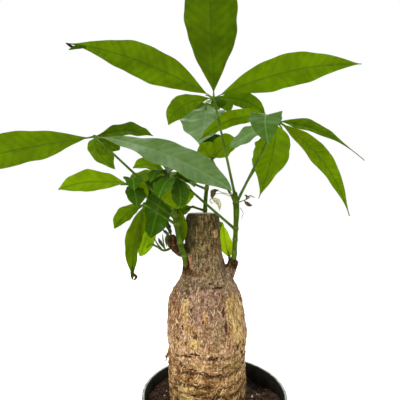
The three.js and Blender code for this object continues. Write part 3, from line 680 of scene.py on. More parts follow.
def blade_surface(name, skins, veins, shares, glows, glow_share, roughness, gloss, relief, curve=1):
    """Skin of a leaflet on one side: toned green, a midrib with side veins, and light through it.
    Of each pair of colours, and of gloss where it is a pair, the first is for deep green leaflets
    and the second for pale. shares are how clear the veins and the side veins are, and how much
    painted shade darkens the panels between side veins towards the veins. A curve over 1 keeps
    middle tones deep."""
    s = Surface(name)
    vein_share, side_share, crease_shade_share = shares
    far_along, across, tone, dry = (s.value(key) for key in ("along", "across", "tone", "dry"))
    tone = s.math("POWER", tone, curve)
    off_rib = abs(across)
    count = (far_along - off_rib * VEIN_LEAN + s.noise(9.0, 2.0) * 2.4) / VEIN_SPACING
    between = abs(s.math("FRACT", count) - 0.5) * VEIN_SPACING
    side_vein = s.fade(between, 0.5, 0.1)
    midrib = s.fade(off_rib, 0.8, 0.3)
    vein = s.math("MAXIMUM", side_vein * side_share, midrib)
    net = s.fade(s.cells(1.7, "DISTANCE_TO_EDGE"), 0.16, 0.0)
    mottle = s.fade(s.noise(14.0), 0.3, 0.72)
    panel = s.fade(between, 0.2, 3.2)
    # Painted shade: the panel term darkens the skin towards the side veins, and tone carries painted
    # light per leaflet
    shade = mottle * 0.22 + panel * crease_shade_share - 0.14 + tone - net * 0.05
    skin = s.mix(shade, *skins)
    skin = s.mix(vein * vein_share, skin, s.mix(tone, *veins))
    withered = s.fade(dry, 0.0, 0.5)
    skin = s.mix(withered, skin, s.ramp(dry, [(0.5, "2c3024"), (1.0, "6d4a32")]))
    glow = s.mix(shade, *glows)
    glow = s.mix(vein * 0.45, glow, glows[0])
    glow = s.mix(withered, glow, "2a1a10")
    normal = s.bump(vein * relief + panel * 0.45 + s.noise(1.1, 2.0) * 0.12, 0.35)
    gloss = s.blend(tone, *gloss) if isinstance(gloss, tuple) else gloss
    through = s.add("BsdfTranslucent", {"Color": glow, "Normal": normal})
    shader = {0: glow_share, 1: s.solid(skin, roughness, gloss, normal), 2: through}
    return s.close(s.add("MixShader", shader))


def stem_surface(name, tones, roughness):
    """Smooth green stem skin with fine lengthwise streaks, pale specks and darker scars."""
    s = Surface(name)
    streaks = s.noise((1.2, 1.2, 9.0))
    skin = s.ramp(streaks * 0.4 + s.noise(7.0) * 0.6, tones)
    specks = s.fade(s.cells(1.5), 0.16, 0.08) * 0.3
    skin = s.mix(specks, skin, "7f8c3c")
    skin = s.mix(s.value("scar"), skin, "66652a")
    skin = s.mix(s.value("foot"), skin, "5e3f1c")
    return s.close(s.solid(skin, roughness, 0.06, s.bump(streaks + specks, 0.25)))


def bark_surface():
    """Bark: olive-brown neck, mauve and straw-coloured belly, folded foot, all finely mottled, with
    painted shade in the folds and cracks, under the left shoot's collar and down the neck's left side.
    """
    s = Surface("bark")
    height = s.add("SeparateXYZ", {0: s.place(1.0)}, output="Z")
    level = s.spread(height + (s.noise(16.0) - 0.5) * 26.0, 100.0, 280.0, 0.0, 1.0)
    places = (0.11, 0.24, 0.32, 0.47, 0.61, 0.69, 0.81, 0.94)
    darks = ("472b0a", "48290c", "5e3f1a", "5d3f24", "45321b", "40311a", "34280f", "2a2108")
    bases = ("8b6636", "956f40", "b48e62", "8c6d52", "745d45", "65533a", "5a4a2c", "4a3f20")
    pales = ("dbb97e", "e0bd8e", "f0d0a8", "cfae94", "b29c82", "9a8771", "88764f", "7a6b46")
    dark, base, pale = (s.ramp(level, list(zip(places, codes))) for codes in (darks, bases, pales))

    streaks = s.noise((1.7, 1.7, 9.0), 4.0, 0.72)
    layers = s.noise((7.0, 7.0, 2.2), 4.0, 0.72)
    foot = s.fade(height, 158.0, 148.0)
    grain = s.blend(foot, streaks, layers)
    specks = s.noise(1.9, 4.0, 0.75)
    flakes = s.noise((5.0, 5.0, 8.0), 5.0, 0.75, 1.5)
    flake_share = s.spread(height, 200.0, 225.0, 0.5, 0.2)
    tone = s.blend(0.4, s.blend(flake_share, grain, flakes), specks)
    shadow = s.fade(tone, 0.44, 0.49)
    light = s.fade(tone, 0.505, 0.575)
    skin = s.mix(light, s.mix(shadow, dark, base), pale)
    marks = {
        "straw": ("7d602c", "ba9a5a", "d9bc7e", 0.82),
        "mauve": ("5b4033", "8e6e59", "bc9a83", 0.65),
        "grey": ("574729", "86704e", "aa936c", 0.6),
        "rust": ("42240c", "77491f", "a87845", 0.55),
        # Dark brown bark, and painted shade under the left shoot's collar
        "umber_and_shade": ("2b1a0a", "4b3118", "74563a", 0.75),
        # Painted shade down the left side of the neck
        "left_neck_shade": ("191706", "2a260f", "433b1e", 0.85),
        "bright": ("85602e", "b98f5c", "ddbe90", 0.6),
    }
    ragged = (tone - 0.5) * 2.2
    for key, (low, middle, high, share) in marks.items():
        paint = s.mix(light, s.mix(shadow, low, middle), high)
        skin = s.mix(s.fade(s.value(key) + ragged, 0.4, 0.65) * share, skin, paint)
    # Painted shade in the folds and cracks
    skin = s.mix(s.value("groove") * 0.85, skin, s.mix(light, "2a1707", "5c3a1a"))
    skin = s.mix(s.fade(s.value("knot") - ragged, 0.4, 0.75) * 0.85, skin, "2c1304")
    collar = s.ramp(tone, [(0.42, "150b02"), (0.5, "33210b"), (0.6, "704d28")])
    skin = s.mix(s.value("collar"), skin, collar)
    skin = s.mix(s.value("lip"), skin, s.ramp(tone, [(0.42, "55321c"), (0.6, "b08664")]))
    cut = s.ramp(s.noise((2.0, 2.0, 50.0)), [(0.35, "6f6445"), (0.6, "a39a78")])
    skin = s.mix(s.value("cut"), skin, cut)
    return s.close(s.solid(skin, 0.85, 0.1, s.bump(grain * 0.8 + specks * 0.6, 1.5)))


def fibre_surface():
    """Loose bark fibres, from dark brown to pale straw."""
    s = Surface("bark_fibres")
    stops = [(0.0, "33200c"), (0.4, "6f4c28"), (0.75, "bb9664"), (1.0, "f0d8aa")]
    return s.close(s.solid(s.ramp(s.value("pale"), stops), 0.8, 0.1))


def dry_surface():
    """Dead twigs and withered leaf bits: dark or mossy, or faded to pale straw."""
    s = Surface("dry_bits")
    grain = s.noise((1.4, 1.4, 3.0), 4.0, 0.65)
    places = (0.35, 0.5, 0.65)
    tones = (("22220c", "3f3d1d", "69623e"), ("1f2c06", "3b5010", "64762c"),
             ("8f8c5f", "b3b487", "d0d0b4"))
    dull, moss, faded = (s.ramp(grain, list(zip(places, codes))) for codes in tones)
    skin = s.mix(s.value("faded"), s.mix(s.value("mossy"), dull, moss), faded)
    return s.close(s.solid(skin, 0.8, 0.2, s.bump(grain, 0.4)))


def soil_surface():
    """Dark potting mix: brown-black crumbs with a few pale specks."""
    s = Surface("soil_mix")
    grain = s.noise(2.2, 5.0, 0.7)
    skin = s.ramp(grain, [(0.3, "0f0703"), (0.48, "27170c"), (0.64, "47311f"), (0.8, "6b5440")])
    skin = s.mix(s.value("pale"), skin, "c9bda6")
    skin = s.mix(s.value("brown"), skin, "5b412b")
    damp = s.value("damp")
    skin = s.mix(damp * 0.75, skin, "090605")
    roughness = s.spread(damp, 0.0, 1.0, 0.92, 0.35)
    return s.close(s.solid(skin, roughness, 0.15, s.bump(grain, 1.2)))


def pot_surface():
    """Thin black nursery-pot plastic, slightly glossy, dusty and scuffed."""
    s = Surface("pot_plastic")
    scuffs = s.fade(s.noise((2.5, 2.5, 14.0), 5.0, 0.7), 0.5, 0.75)
    dust = s.fade(s.noise(16.0, 4.0, 0.6), 0.4, 0.7)
    skin = s.mix(dust * 0.25, "0a0806", "2c261f")
    skin = s.mix(scuffs * 0.2, skin, "3b3832")
    rim = s.ramp(s.noise(6.0, 4.0), [(0.35, "4f554a"), (0.65, "8d9388")])
    skin = s.mix(s.value("rim"), skin, rim)
    roughness = s.spread(dust, 0.0, 1.0, 0.28, 0.48)
    return s.close(s.solid(skin, roughness, 0.28, s.bump(s.noise(0.9), 0.06)))


def floor_surface():
    s = Surface("pale_floor")
    skin = s.ramp(s.noise(60.0), [(0.3, "fcfcfb"), (0.7, "ffffff")])
    return s.close(s.solid(skin, 0.9, 0.5))


# Leaves

def outline(s, widest):
    """Half width of a leaflet along its length, 1 at its widest."""
    fall = OUTLINE_RISE * (1 - widest) / widest
    t = np.clip((s - BARE_BASE) / (1 - BARE_BASE), 0, 1)
    return t**OUTLINE_RISE * (1 - t)**fall / (widest**OUTLINE_RISE * (1 - widest)**fall)


def blade(hub, leaflet, phase, dry_tip=0):
    """One leaflet: a bowed rib, folded up along it like a shallow V, with a waved margin."""
    reach, bow = leaflet[:3], leaflet[3:6]
    width, turn, widest, tone = leaflet[6:]
    length = np.linalg.norm(reach)
    heading = unit(reach)
    rise = unit(UP - heading * heading[2])
    middle = hub + 0.5 * reach + 2 * bow
    face = np.array(Matrix.Rotation(math.radians(turn), 3, heading) @ Vector(rise))

    rows = int(np.clip(length / BLADE_STEP, *BLADE_ROWS)) + 1
    s = np.linspace(0, 1, rows)[:, None]
    columns = np.array(BLADE_HALF_COLUMNS)
    q = np.concatenate([-columns[::-1], [0], columns])[None, :]
    rib = (1 - s)**2 * hub + 2 * s * (1 - s) * middle + s**2 * (hub + reach)
    forward = unit(2 * (1 - s) * (middle - hub) + 2 * s * (hub + reach - middle))
    side = unit(np.cross(forward, face))
    normal = np.cross(side, forward)

    spread = outline(s, widest)
    far = np.abs(q)
    run = 2 * math.pi * s
    shift = EDGE_PHASE * phase + np.where(q > 0, EDGE_PHASE_ACROSS, 0)
    edge = np.sin(run * EDGE_RIPPLES_PER_BLADE + shift)
    edge = edge + FINE_RIPPLE_SHARE * np.sin(run * FINE_RIPPLES * EDGE_RIPPLES_PER_BLADE + phase + q)
    half = np.maximum(width / 2 * spread * (1 + EDGE_RIPPLE * far * edge), BLADE_LEAST_HALF)
    ripple = np.sin(run * WAVES_PER_BLADE + phase + np.where(q > 0, PHASE_ACROSS, 0))
    lift = half * FOLD * far * (1 - FOLD_EASE * far)
    lift = lift + WAVE * width * far**1.5 * ripple * np.minimum(1, 1.5 * spread)
    across = q * half
    beat = (s * length - VEIN_LEAN * np.abs(across)) / VEIN_SPACING
    quilt = np.cos(2 * math.pi * beat) * np.sin(math.pi * far) * np.minimum(1, 1.3 * spread)
    lift = (lift + QUILT_HEIGHT * quilt)[..., None]
    grid = rib[:, None, :] + side[:, None, :] * across[..., None] + normal[:, None, :] * lift

    normals = unit(np.cross(np.gradient(grid, axis=1), np.gradient(grid, axis=0)))
    swell = MIDRIB_HEIGHT * (1 - 0.8 * s) * bell(across, MIDRIB_WIDTH)
    thin = BLADE_THICKNESS / 2 * np.minimum(1, 0.35 + 1.2 * (1 - far))
    top = grid + normals * thin[..., None]
    under = grid - normals * (thin + swell)[..., None]
    faces, looks = sheet_faces(*across.shape)
    # tone: the leaflet's own green, partly painted light and shade
    values = {"along": s * length, "across": across, "tone": tone, "dry": dry_tip * fade(s, *DRY_SPAN)}
    values = {key: np.tile(np.broadcast_to(entry, across.shape).ravel(), 2)
              for key, entry in values.items()}
    return shape(np.vstack([top.reshape(-1, 3), under.reshape(-1, 3)]), faces, looks, **values)


def sheet_faces(rows, columns):
    """Faces of a thin closed sheet: upper grid, then lower grid, then the rim. Looks 0 and 1."""
    count = rows * columns
    grid = np.arange(count).reshape(rows, columns)
    a = grid[:-1, :-1].ravel()
    upper = np.column_stack([a, a + 1, a + columns + 1, a + columns])[:, ::-1]
    border = np.concatenate([grid[:-1, 0], grid[-1, :-1], grid[:0:-1, -1], grid[0, :0:-1]])
    after = np.roll(border, -1)
    rim = np.column_stack([border, after, after + count, border + count])
    faces = np.vstack([upper, upper[:, ::-1] + count, rim])
    return faces.tolist(), [0] * len(upper) + [1] * (len(upper) + len(rim))


def stalk(stations):
    """A leaf stalk, thickened where it leaves the shoot and where it meets the leaflets."""
    radii = np.linspace(STALK_ROOT_RADIUS, STALK_END_RADIUS, len(stations))
    line = smooth_line([(*point, radius) for point, radius in zip(stations, radii)], STALK_STEP)
    run = run_along(line[:, :3])
    line[:, 3] += STALK_SWELL * bell(np.minimum(run, run[-1] - run), STALK_SWELL_LENGTH)
    return shape(*tube(line, STALK_SIDES), 2)


def knuckle(hub, leaflets):
    """The small joint where the leaflets meet, drawn out a little towards each of them."""
    lines = [[[*(hub + unit(leaflet[:3]) * step), radius] for step, radius in KNUCKLE]
             for leaflet in leaflets]
    return [shape(*tube(np.array(line), STALK_SIDES), 2) for line in lines]


def torn_end(hub, leaflet, path, dry):
    """A scrap at the torn end of a leaflet, past its tip or beside it."""
    reach = leaflet[:3]
    heading = unit(reach)
    aside = unit(np.cross(heading, (0, 1, 0)))
    line = [[*(hub + reach + heading * ahead + aside * off), radius] for ahead, off, radius in path]
    return shape(*tube(smooth_line(line, SCRAP_STEP), STALK_SIDES), 1, dry=dry)


def make_leaves():
    # Upper sides: the pale grey-green end of the skins is a painted sheen
    top = blade_surface("blade_top", skins=("3c5e08", "8aa074"), veins=("648e34", "c0d0a8"),
                        shares=(0.7, 0.5, 0.1), glows=("4c7404", "9cc01e"), glow_share=0.4,
                        roughness=0.42, gloss=(0.0, 0.5), relief=-0.8, curve=2)
    under = blade_surface("blade_under", skins=("455804", "869a06"), veins=("3f5c14", "587420"),
                          shares=(0.5, 0.22, 0.035), glows=("4a7a00", "b9da00"), glow_share=0.6,
                          roughness=0.65, gloss=0.03, relief=0.9)
    young = blade_surface("blade_young", skins=("788a0a", "acb81a"), veins=("657a14", "8c9a2a"),
                          shares=(0.4, 0.2, 0.035), glows=("88a604", "cce408"), glow_share=0.6,
                          roughness=0.6, gloss=0.03, relief=0.9)
    green = stem_surface("stalk_skin", [(0.3, "243a04"), (0.5, "385208"), (0.7, "5a7418")], 0.5)
    for name, (stations, leaflets) in LEAVES.items():
        hub, leaflets = np.array(stations[-1], float), np.array(leaflets, float)
        shapes = [stalk(stations)] + knuckle(hub, leaflets)
        for index, leaflet in enumerate(leaflets):
            dry_tip, scraps = TORN_TIPS.get((name, index), (0, []))
            shapes.append(blade(hub, leaflet, PHASE_STEP * index + hub[0], dry_tip))
            shapes += [torn_end(hub, leaflet, path, dry) for dry, path in scraps]
        skins = [young, young, green] if name == YOUNG_LEAF else [top, under, green]
        finish_piece(name + "_fine", shapes, skins, name, 60)


# Shoots

def make_shoots():
    skin = stem_surface("shoot_skin", [(0.3, "1e3004"), (0.5, "344a06"), (0.7, "587210")], 0.6)
    for name, (stations, scars) in SHOOTS.items():
        line = smooth_line(stations, SHOOT_STEP)
        line[:, 3] += SCAR_SWELL * sum(bell(line[:, 2] - height, SCAR_WIDTH) for height in scars)
        points, faces = tube(line, SHOOT_SIDES)
        heights = points[:, 2]
        scar = sum(bell(heights - height - 0.8) for height in scars)
        foot = fade(heights, stations[0][2] + 8, stations[0][2] + 3)
        points = points + unit(points - points.mean(0)) * SHOOT_LUMP * cloud(points, 3.0)[:, None]
        stem = shape(points, faces, scar=0.6 * np.clip(scar, 0, 1), foot=0.8 * foot)
        finish_piece(name + "_stem", [stem], [skin], name)


# Trunk

def fuse(name, shapes):
    """One smooth skin over shapes that overlap."""
    source = add_object(name, make_mesh(name, shapes))
    remesh = source.modifiers.new("fuse", "REMESH")
    remesh.mode = "VOXEL"
    remesh.voxel_size = TRUNK_VOXEL * MM
    smooth = source.modifiers.new("smooth", "SMOOTH")
    smooth.factor = 0.5
    smooth.iterations = TRUNK_SMOOTHING
    bpy.context.view_layer.update()
    result = source.evaluated_get(bpy.context.evaluated_depsgraph_get())
    fused = bpy.data.meshes.new_from_object(result)
    raw = source.data
    bpy.data.objects.remove(source)
    bpy.data.meshes.remove(raw)
    fused.name = name
    return fused


def waves(table, angles):
    """The sum of a table's waves around the trunk: how many, their share and where they start."""
    return sum(share * np.sin(count * angles + start) for count, share, start in table)


def trunk_shapes():
    foot, top = TRUNK_OUTLINE[0][0], TRUNK_OUTLINE[-1][0]
    angles = around(TRUNK_SIDES)
    flutes = waves(FLUTES, angles)
    rings = []
    for height in np.linspace(foot, top, int((top - foot) / TRUNK_STEP)):
        left, right = along(TRUNK_OUTLINE, height)
        middle, radius = (left + right) / 2, (right - left) / 2
        neck = fade(height, *NECK_FLUTES)
        reach = radius + FLUTE_DEPTH * flutes * (1 + (NECK_FLUTE_SHARE - 1) * neck)
        reach = reach - CUT_EDGE * fade(height, top - 2 * CUT_EDGE, top)
        rings.append(ring(angles, reach, height, middle))
    shapes = [shape(*loft(np.array(rings)))]
    for stub in TRUNK_STUBS + [BARK_LIP, BARK_FLAKE]:
        shapes.append(shape(*tube(smooth_line(stub, STUB_STEP), STUB_SIDES)))
    return shapes


def ring_folds(p):
    """Folds around the foot, broken in places: how far the bark sinks in them and their painted shade.
    """
    x, y, z = p.T
    first, last = RING_FOLDS[0][0] - FOLD_HALF_WIDTH, RING_FOLDS[-1][0] + FOLD_HALF_WIDTH
    swing = waves(FOLD_SWINGS, np.arctan2(y, x - FOOT_MIDDLE))
    swing = swing * fade(z, first - FOLD_SWING_FADE, first) * fade(z, last + FOLD_SWING_FADE, last)
    ragged = 1.1 * cloud(p, 6.0, 3, 15.0)
    sink, dark = np.zeros(len(p)), np.zeros(len(p))
    for height, depth in RING_FOLDS:
        above = z - swing + ragged - height
        off = np.abs(above)
        here = fade(cloud(p, (11.0, 11.0, 30.0), 2, height), -0.5, 0.1)
        valley = np.clip(1 - off / FOLD_HALF_WIDTH, 0, 1)**0.8
        sink = np.maximum(sink, depth * (0.4 + 0.6 * here) * valley)
        # Painted shade: dark in the fold, fading out upward over the lower side of the bulge above it
        fold_shade = np.maximum(bell(off, 0.9 * FOLD_HALF_WIDTH),
                          0.7 * fade(above, FOLD_SHADE_REACH, 0) * (above > 0))
        dark = np.maximum(dark, min(0.45 + 0.55 * depth, 1) * here * fold_shade)
    return sink, dark


def spots(p, table, torn, rim, heart):
    """How much each point lies in a table's spots: x, height, half width and half height."""
    value = np.zeros(len(p))
    for x, height, half_width, half_height in table:
        off = np.hypot((p[:, 0] - x) / half_width, (p[:, 2] - height) / half_height)
        value = np.maximum(value, fade(off + torn, rim, heart))
    return value


def distance(p, place):
    """How far points are from a place."""
    return np.linalg.norm(p - np.array(place), axis=1)


def bark_relief(p, facing):
    """Height of the bark's relief at points, and what its material reads there: marks and painted
    shade.
    """
    y, z = p[:, 1], p[:, 2]
    front = fade(y, *FRONT)
    belly = 1 - fade(z, *BELLY_TOP)
    low = fade(z, *FOOT)

    torn = 0.5 * cloud(p, (5.0, 5.0, 9.0), 4, 5.0) + 0.25 * cloud(p, (1.6, 1.6, 3.5), 2, 6.0)
    values = {key: front * spots(p, marks, torn, 1.3, 0.75) for key, marks in BARK_MARKS.items()}
    knot = front * spots(p, KNOTS, torn, 1.35, 0.6)
    wild = cloud(p, (10.0, 10.0, 15.0), 3, 21.0)
    behind = belly * (1 - front)
    for key, patches in (("straw", fade(wild, 0.3, 0.36)), ("mauve", fade(wild, -0.2, -0.3)),
                         ("grey", 0.75 * fade(np.abs(wild), 0.26, 0.16))):
        values[key] = np.maximum(values[key], patches * behind)

    sink, painted_fold_shade = ring_folds(p)
    plates = cloud(p, (4.6, 4.6, 9.0), 4, 61.0)
    flat_plates = cloud(p, (7.0, 7.0, 2.6), 4, 66.0)
    plates = plates * (1 - low) + flat_plates * low
    steps = fade(plates, -0.03, 0.03) + fade(plates, 0.3, 0.36) + fade(plates, -0.38, -0.32)
    crack = bell(plates + 0.02, 0.035) + 0.7 * bell(plates - 0.31, 0.03)
    crack = crack * fade(cloud(p, 9.0, 2, 33.0), -0.25, 0.2) * belly * (1 - 0.6 * values["straw"])
    crack = crack * (1 + 0.5 * low)
    streak = cloud(p, (1.4, 1.4, 12.0), 3, 51.0)
    fine = cloud(p, 1.4, 2, 71.0)
    # Painted shade in and above the folds and in the cracks between the bark's plates
    groove = np.clip(painted_fold_shade + 0.55 * crack, 0, 1)

    cut = fade(facing[:, 2], *CUT_FACING) * fade(z, *CUT)
    stub = np.linalg.norm((p - np.array(DEAD_STUB)) * (1, 1, 0.7), axis=1)
    frayed = fade(stub, *STUB_REACH)
    collar = fade(stub + 3 * torn, *STUB_REACH)
    for place in SHOOT_COLLARS:
        collar = np.maximum(collar, fade(distance(p, place) + 3 * torn, *COLLAR_REACH))
    lip = np.min([distance(p, place[:3]) for place in smooth_line(BARK_LIP, STUB_STEP)], axis=0)
    lip = fade(lip, *LIP_REACH) * fade(z, *LIP)
    values.update(groove=groove, knot=knot, collar=collar, lip=lip, cut=cut)

    streaks = STREAK_HEIGHT * streak * fade(z, *NECK)
    relief = (PLATE_STEP * (steps - 1.5) * belly + streaks + FINE_HEIGHT * fine
              - STRAW_SINK * values["straw"] + COLLAR_STREAK * collar * streak
              + FRAY_HEIGHT * frayed * torn - sink - CRACK_SINK * crack - KNOT_SINK * knot)
    return relief * (1 - cut) + CUT_HEIGHT * fine * cut, values


def bark_fibre(tree, points, facing, start, turn, reach, radius):
    """A loose fibre that lies along the bark from a point, with its last part curling off it."""
    normal = facing[start]
    upward = unit(UP - normal * normal[2])
    ahead = math.cos(turn) * upward + math.sin(turn) * np.cross(normal, upward)
    aside = np.cross(normal, ahead)
    bow, lift = rng.normal(0, 0.12) * reach, rng.uniform(0, 0.12) * reach
    line = []
    for t in np.linspace(0, 1, FIBRE_JOINTS):
        place = points[start] + ahead * reach * t + aside * bow * 4 * t * (1 - t)
        near = tree.find(Vector(place))[1]
        out = facing[near]
        place = place - out * np.dot(place - points[near], out) + out * (0.15 + lift * t**3)
        line.append([*place, radius * (1 - 0.5 * t)])
    return np.array(line)


def make_bark_fibres(points, facing):
    tree = KDTree(len(points))
    for index, point in enumerate(points):
        tree.insert(Vector(point), index)
    tree.balance()
    heights = points[:, 2]
    starts = np.flatnonzero((heights > FIBRE_SPAN[0]) & (heights < FIBRE_SPAN[1]))
    shapes = []
    for start in rng.choice(starts, FIBRE_COUNT):
        lies_across = heights[start] < FIBRE_FOLDED and rng.random() < 0.6
        turn = rng.normal(math.pi / 2 if lies_across else 0, 0.5)
        radius = rng.uniform(*FIBRE_RADII)
        line = bark_fibre(tree, points, facing, start, turn, rng.uniform(*FIBRE_REACH), radius)
        shapes.append(shape(*tube(line, FIBRE_SIDES), pale=rng.beta(1.0, 0.8)))
    finish_piece("bark_fibres", shapes, [fibre_surface()], "trunk")


def make_trunk():
    mesh = fuse("trunk_bark", trunk_shapes())
    read = {}
    for key in ("co", "normal"):
        flat = np.empty(len(mesh.vertices) * 3, np.float32)
        mesh.vertices.foreach_get(key, flat)
        read[key] = flat.reshape(-1, 3).astype(float)
    points, facing = read["co"] / MM, read["normal"]
    relief, values = bark_relief(points, facing)
    points = points + facing * relief[:, None]
    mesh.vertices.foreach_set("co", (points * MM).astype(np.float32).ravel())
    for key, entry in values.items():
        set_value(mesh, key, entry)
    mesh.update()
    finish_piece("trunk_bark", mesh, [bark_surface()], "trunk", 75)
    make_bark_fibres(points, facing)


def dry_stem(stations):
    """A thin, lumpy dead stem."""
    points, faces = tube(smooth_line(stations, DRY_STEP), DRY_SIDES)
    return points + DRY_LUMP * cloud(points, 1.6)[:, None] * unit(points - points.mean(0)), faces


def make_dry_bits():
    """The dead twig and bud scales on the stub, and withered leaves beside the right shoot."""
    dry = dry_surface()
    pieces = [("dry_twig", "trunk", "bark", "mossy", DRY_STEMS, BUD_SCALES, 0),
              ("withered_bits", "shoot_right", "shoot", "faded", WITHERED_STEMS, WITHERED_BLADES,
               CRUMPLE)]
    for name, node, slot, key, stems, blades, crumple in pieces:
        shapes = [shape(*dry_stem(stem), **{key: share}) for stem, share in stems]
        for hub, leaflet, share in blades:
            bit = blade(np.array(hub, float), np.array([*leaflet, 0], float), hub[0])
            points = bit["points"] + crumple * cloud(bit["points"], 2.5)[:, None]
            shapes.append(shape(points, bit["faces"], **{key: share}))
        finish_piece(name, shapes, [dry], node)


# Pot and soil

def pot_inner_radius(height):
    """Radius of the pot's wall inside, which flares evenly up to the collar."""
    outside = POT_BASE_RADIUS + (POT_NECK_RADIUS - POT_BASE_RADIUS) * height / POT_COLLAR_FOOT
    return outside - POT_WALL


def make_pot():
    lip = POT_RIM_RADIUS - POT_LIP_WIDTH
    top = POT_HEIGHT - POT_LIP_ROUND
    turn = [(POT_LIP_ROUND * (1 - math.cos(a)), top + POT_LIP_ROUND * math.sin(a))
            for a in np.linspace(0, math.pi / 2, 6)]
    outer = [(POT_RIM_RADIUS - inward, height) for inward, height in turn]
    inner = [(lip + inward, height) for inward, height in reversed(turn)]
    side = [(POT_BASE_RADIUS + (POT_NECK_RADIUS - POT_BASE_RADIUS) * t,
             POT_CHAMFER + (POT_COLLAR_FOOT - POT_CHAMFER) * t) for t in np.linspace(0, 1, 16)]
    inside = POT_FLOOR + POT_INNER_ROUND
    profile = [(FLOOR_PLATE_RADIUS, 0), (POT_BASE_RADIUS - POT_CHAMFER, 0), *side,
               (POT_COLLAR_RADIUS - COLLAR_CHAMFER[0], POT_COLLAR_FOOT),
               (POT_COLLAR_RADIUS, POT_COLLAR_FOOT + COLLAR_CHAMFER[1]), *outer, *inner,
               (pot_inner_radius(POT_COLLAR_FOOT), POT_COLLAR_FOOT - POT_INNER_STEP),
               (pot_inner_radius(inside), inside),
               (pot_inner_radius(POT_FLOOR) - POT_INNER_ROUND, POT_FLOOR),
               (FLOOR_PLATE_RADIUS, POT_FLOOR)]
    angles = around(POT_SIDES)
    points = np.vstack([ring(angles, radius, height) for radius, height in profile])
    rim = fade(POT_HEIGHT - points[:, 2], *PALE_LIP)
    shell = shape(points, ring_faces(len(profile), POT_SIDES).tolist(), rim=rim)
    finish_piece("pot_shell", [shell] + pot_floor(), [pot_surface()], "pot", 35)


def pot_floor():
    """The flat middle of the pot's floor: a plate with round drain holes, open right through."""
    steps = 12
    back = np.array([0.8, 0.6, 0.4, 0.2])[:, None]
    shapes = []
    for k in range(DRAIN_HOLES):
        places = np.arange(k * POT_SIDES // DRAIN_HOLES, (k + 1) * POT_SIDES // DRAIN_HOLES + 1)
        arc = ring(2 * math.pi * places / POT_SIDES, FLOOR_PLATE_RADIUS, 0)
        border = np.vstack([arc, arc[-1] * back, [(0, 0, 0)], arc[0] * back[::-1]])
        hole = ring([2 * math.pi * (k + 0.5) / DRAIN_HOLES], DRAIN_CIRCLE, 0)
        start = hole + DRAIN_RADIUS * unit(border - hole)
        lower = np.vstack([start + (border - start) * t for t in np.linspace(0, 1, steps + 1)])
        count = len(lower)
        sheet = ring_faces(steps + 1, len(border))
        j = np.arange(len(border))
        after = np.roll(j, -1)
        edge = np.column_stack([j, after, after + count, j + count])
        faces = np.vstack([sheet[:, ::-1], sheet + count, edge])
        shapes.append(shape(np.vstack([lower, lower + UP * POT_FLOOR]), faces.tolist(), rim=0.0))
    return shapes


def off_hollow(x, y):
    """How far places are from the middle of the hollow, as a share of its width."""
    return np.hypot(x - HOLLOW_CENTRE[0], y - HOLLOW_CENTRE[1]) / HOLLOW_WIDTH


def soil_damp(x, y):
    """How damp the soil is: 1 in the hollow, 0 away from it."""
    return fade(off_hollow(x, y), 1.25, 0.7)


def soil_height(points):
    """Height of the soil's surface: its waves, its hollow and its crumbs."""
    x, y = points[:, 0], points[:, 1]
    lumps = sum(share * np.sin(wave_x * x + wave_y * y + start)
                for wave_x, wave_y, start, share in SOIL_WAVES)
    flat = np.column_stack([x, y, np.zeros(len(x))])
    crumbs = cloud(flat, 7.0, 4, 3.0) + 0.5 * cloud(flat, 2.4, 2, 8.0)
    crumbs = SOIL_ROUGHNESS * (1 - 0.8 * soil_damp(x, y)) * crumbs
    return SOIL_LEVEL + SOIL_LUMP * lumps - HOLLOW_DEPTH * bell(off_hollow(x, y)) + crumbs


def soil_edge(gap):
    """Radius of the soil's surface where it stays a gap clear of the pot's wall."""
    return pot_inner_radius(POT_COLLAR_FOOT - POT_INNER_STEP) - gap


def soil_bed():
    angles = around(SOIL_SIDES)
    rings = [ring(angles, pot_inner_radius(SOIL_DEEP) - SOIL_DEEP_GAP, SOIL_DEEP)]
    for share in np.linspace(1, 0.3, SOIL_RINGS):
        rings.append(ring(angles, soil_edge(SOIL_GAP) * share, 0))
        rings[-1][:, 2] = soil_height(rings[-1])
    points, faces = loft(np.array(rings))
    return shape(points, faces, damp=soil_damp(points[:, 0], points[:, 1]))


def scatter(count):
    """Points on the open soil between the trunk and the pot's wall."""
    edge = soil_edge(SOIL_FROM_WALL)
    middle, covered = COVERED_SOIL
    places = []
    while len(places) < count:
        x, y = rng.uniform(-edge, edge, 2)
        open_soil = math.hypot(x, y) < edge and math.hypot(x - middle, y) > covered
        if open_soil and rng.random() > 0.8 * soil_damp(x, y):
            places.append((x, y))
    return np.column_stack([places, soil_height(np.array(places))])


def crumb_ball():
    """Points and faces of a ball of 42 points."""
    ball = bmesh.new()
    bmesh.ops.create_icosphere(ball, subdivisions=2, radius=1.0)
    points = np.array([v.co for v in ball.verts])
    faces = [[v.index for v in face.verts] for face in ball.faces]
    ball.free()
    return points, faces


def soil_crumbs():
    ball, faces = crumb_ball()
    shapes = []
    for x, y, z in scatter(CRUMBS):
        radius = CRUMB_RADII[0] + (CRUMB_RADII[1] - CRUMB_RADII[0]) * rng.random()**2.6
        angle, axis = rng.uniform(0, 6.28), Vector(rng.normal(size=3)).normalized()
        turn = np.array(Matrix.Rotation(angle, 3, axis))
        stretch = rng.uniform(*CRUMB_STRETCH, 3)
        lumps = 1 + CRUMB_LUMP * rng.normal(size=(len(ball), 1))
        points = (ball * lumps * stretch * radius) @ turn.T + (x, y, z + 0.25 * radius)
        kind = rng.random()
        pale, brown = 0.8 * (kind < PALE_CRUMBS), 0.6 * rng.random() * (kind > 0.5)
        shapes.append(shape(points, faces, pale=pale, brown=brown))
    return shapes


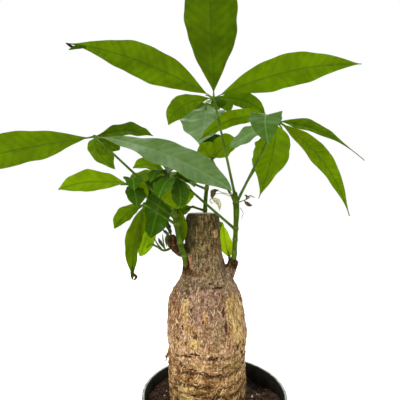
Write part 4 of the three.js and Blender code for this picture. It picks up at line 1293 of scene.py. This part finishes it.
def soil_fibres():
    shapes = []
    for x, y, z in scatter(SOIL_FIBRES):
        length, turn = rng.uniform(*SOIL_FIBRE_LENGTHS), rng.uniform(0, 2 * math.pi)
        bow, tilt = rng.uniform(-SOIL_FIBRE_BOW, SOIL_FIBRE_BOW), rng.uniform(*SOIL_FIBRE_TILTS)
        ahead = np.array([math.cos(turn), math.sin(turn), tilt])
        aside = np.array([-math.sin(turn), math.cos(turn), 0])
        radius = rng.uniform(*SOIL_FIBRE_RADII)
        t = np.linspace(0, 1, 6)[:, None]
        middles = (x, y, z + 0.5) + length * (ahead * t + aside * bow * 4 * t * (1 - t))
        line = np.hstack([middles, radius * (1 - 0.6 * t)])
        if np.hypot(*line[-1, :2]) < SOIL_FIBRE_REACH:
            pale = 0.5 * (rng.random() < PALE_FIBRES)
            shapes.append(shape(*tube(line, 5), brown=rng.uniform(0.3, 1.0), pale=pale))
    return shapes


def make_soil():
    shapes = [soil_bed()] + soil_crumbs() + soil_fibres()
    finish_piece("soil_mix", shapes, [soil_surface()], "soil", 60)


# Camera, light and floor

def make_camera():
    camera = bpy.data.cameras.new("camera")
    camera.lens = CAMERA_LENS
    camera.sensor_width = CAMERA_SENSOR
    camera.clip_start = 0.01
    bpy.context.scene.camera = add_object("camera", camera, CAMERA_PLACE, (math.radians(90), 0, 0))


def make_studio():
    world = bpy.data.worlds.new("white_room")
    bpy.context.scene.world = world
    world.use_nodes = True
    background = world.node_tree.nodes["Background"]
    background.inputs["Color"].default_value = (1, 1, 1, 1)
    background.inputs["Strength"].default_value = 1.0
    for name, place, size, watts in LAMPS:
        lamp = bpy.data.lights.new(name, "AREA")
        lamp.size = size
        lamp.energy = watts
        turn = (Vector(LAMP_AIM) - Vector(place)).to_track_quat("-Z", "Y").to_euler()
        add_object(name, lamp, place, turn)
    bpy.context.scene.view_settings.view_transform = "Standard"

    mesh = bpy.data.meshes.new("floor")
    corners = [(-1, -1), (1, -1), (1, 1), (-1, 1)]
    mesh.from_pydata([(x * FLOOR_HALF, y * FLOOR_HALF, 0) for x, y in corners], [], [(0, 1, 2, 3)])
    mesh.materials.append(floor_surface())
    add_object("floor", mesh)


make_camera()
make_leaves()
make_shoots()
make_trunk()
make_dry_bits()
make_pot()
make_soil()
make_studio()
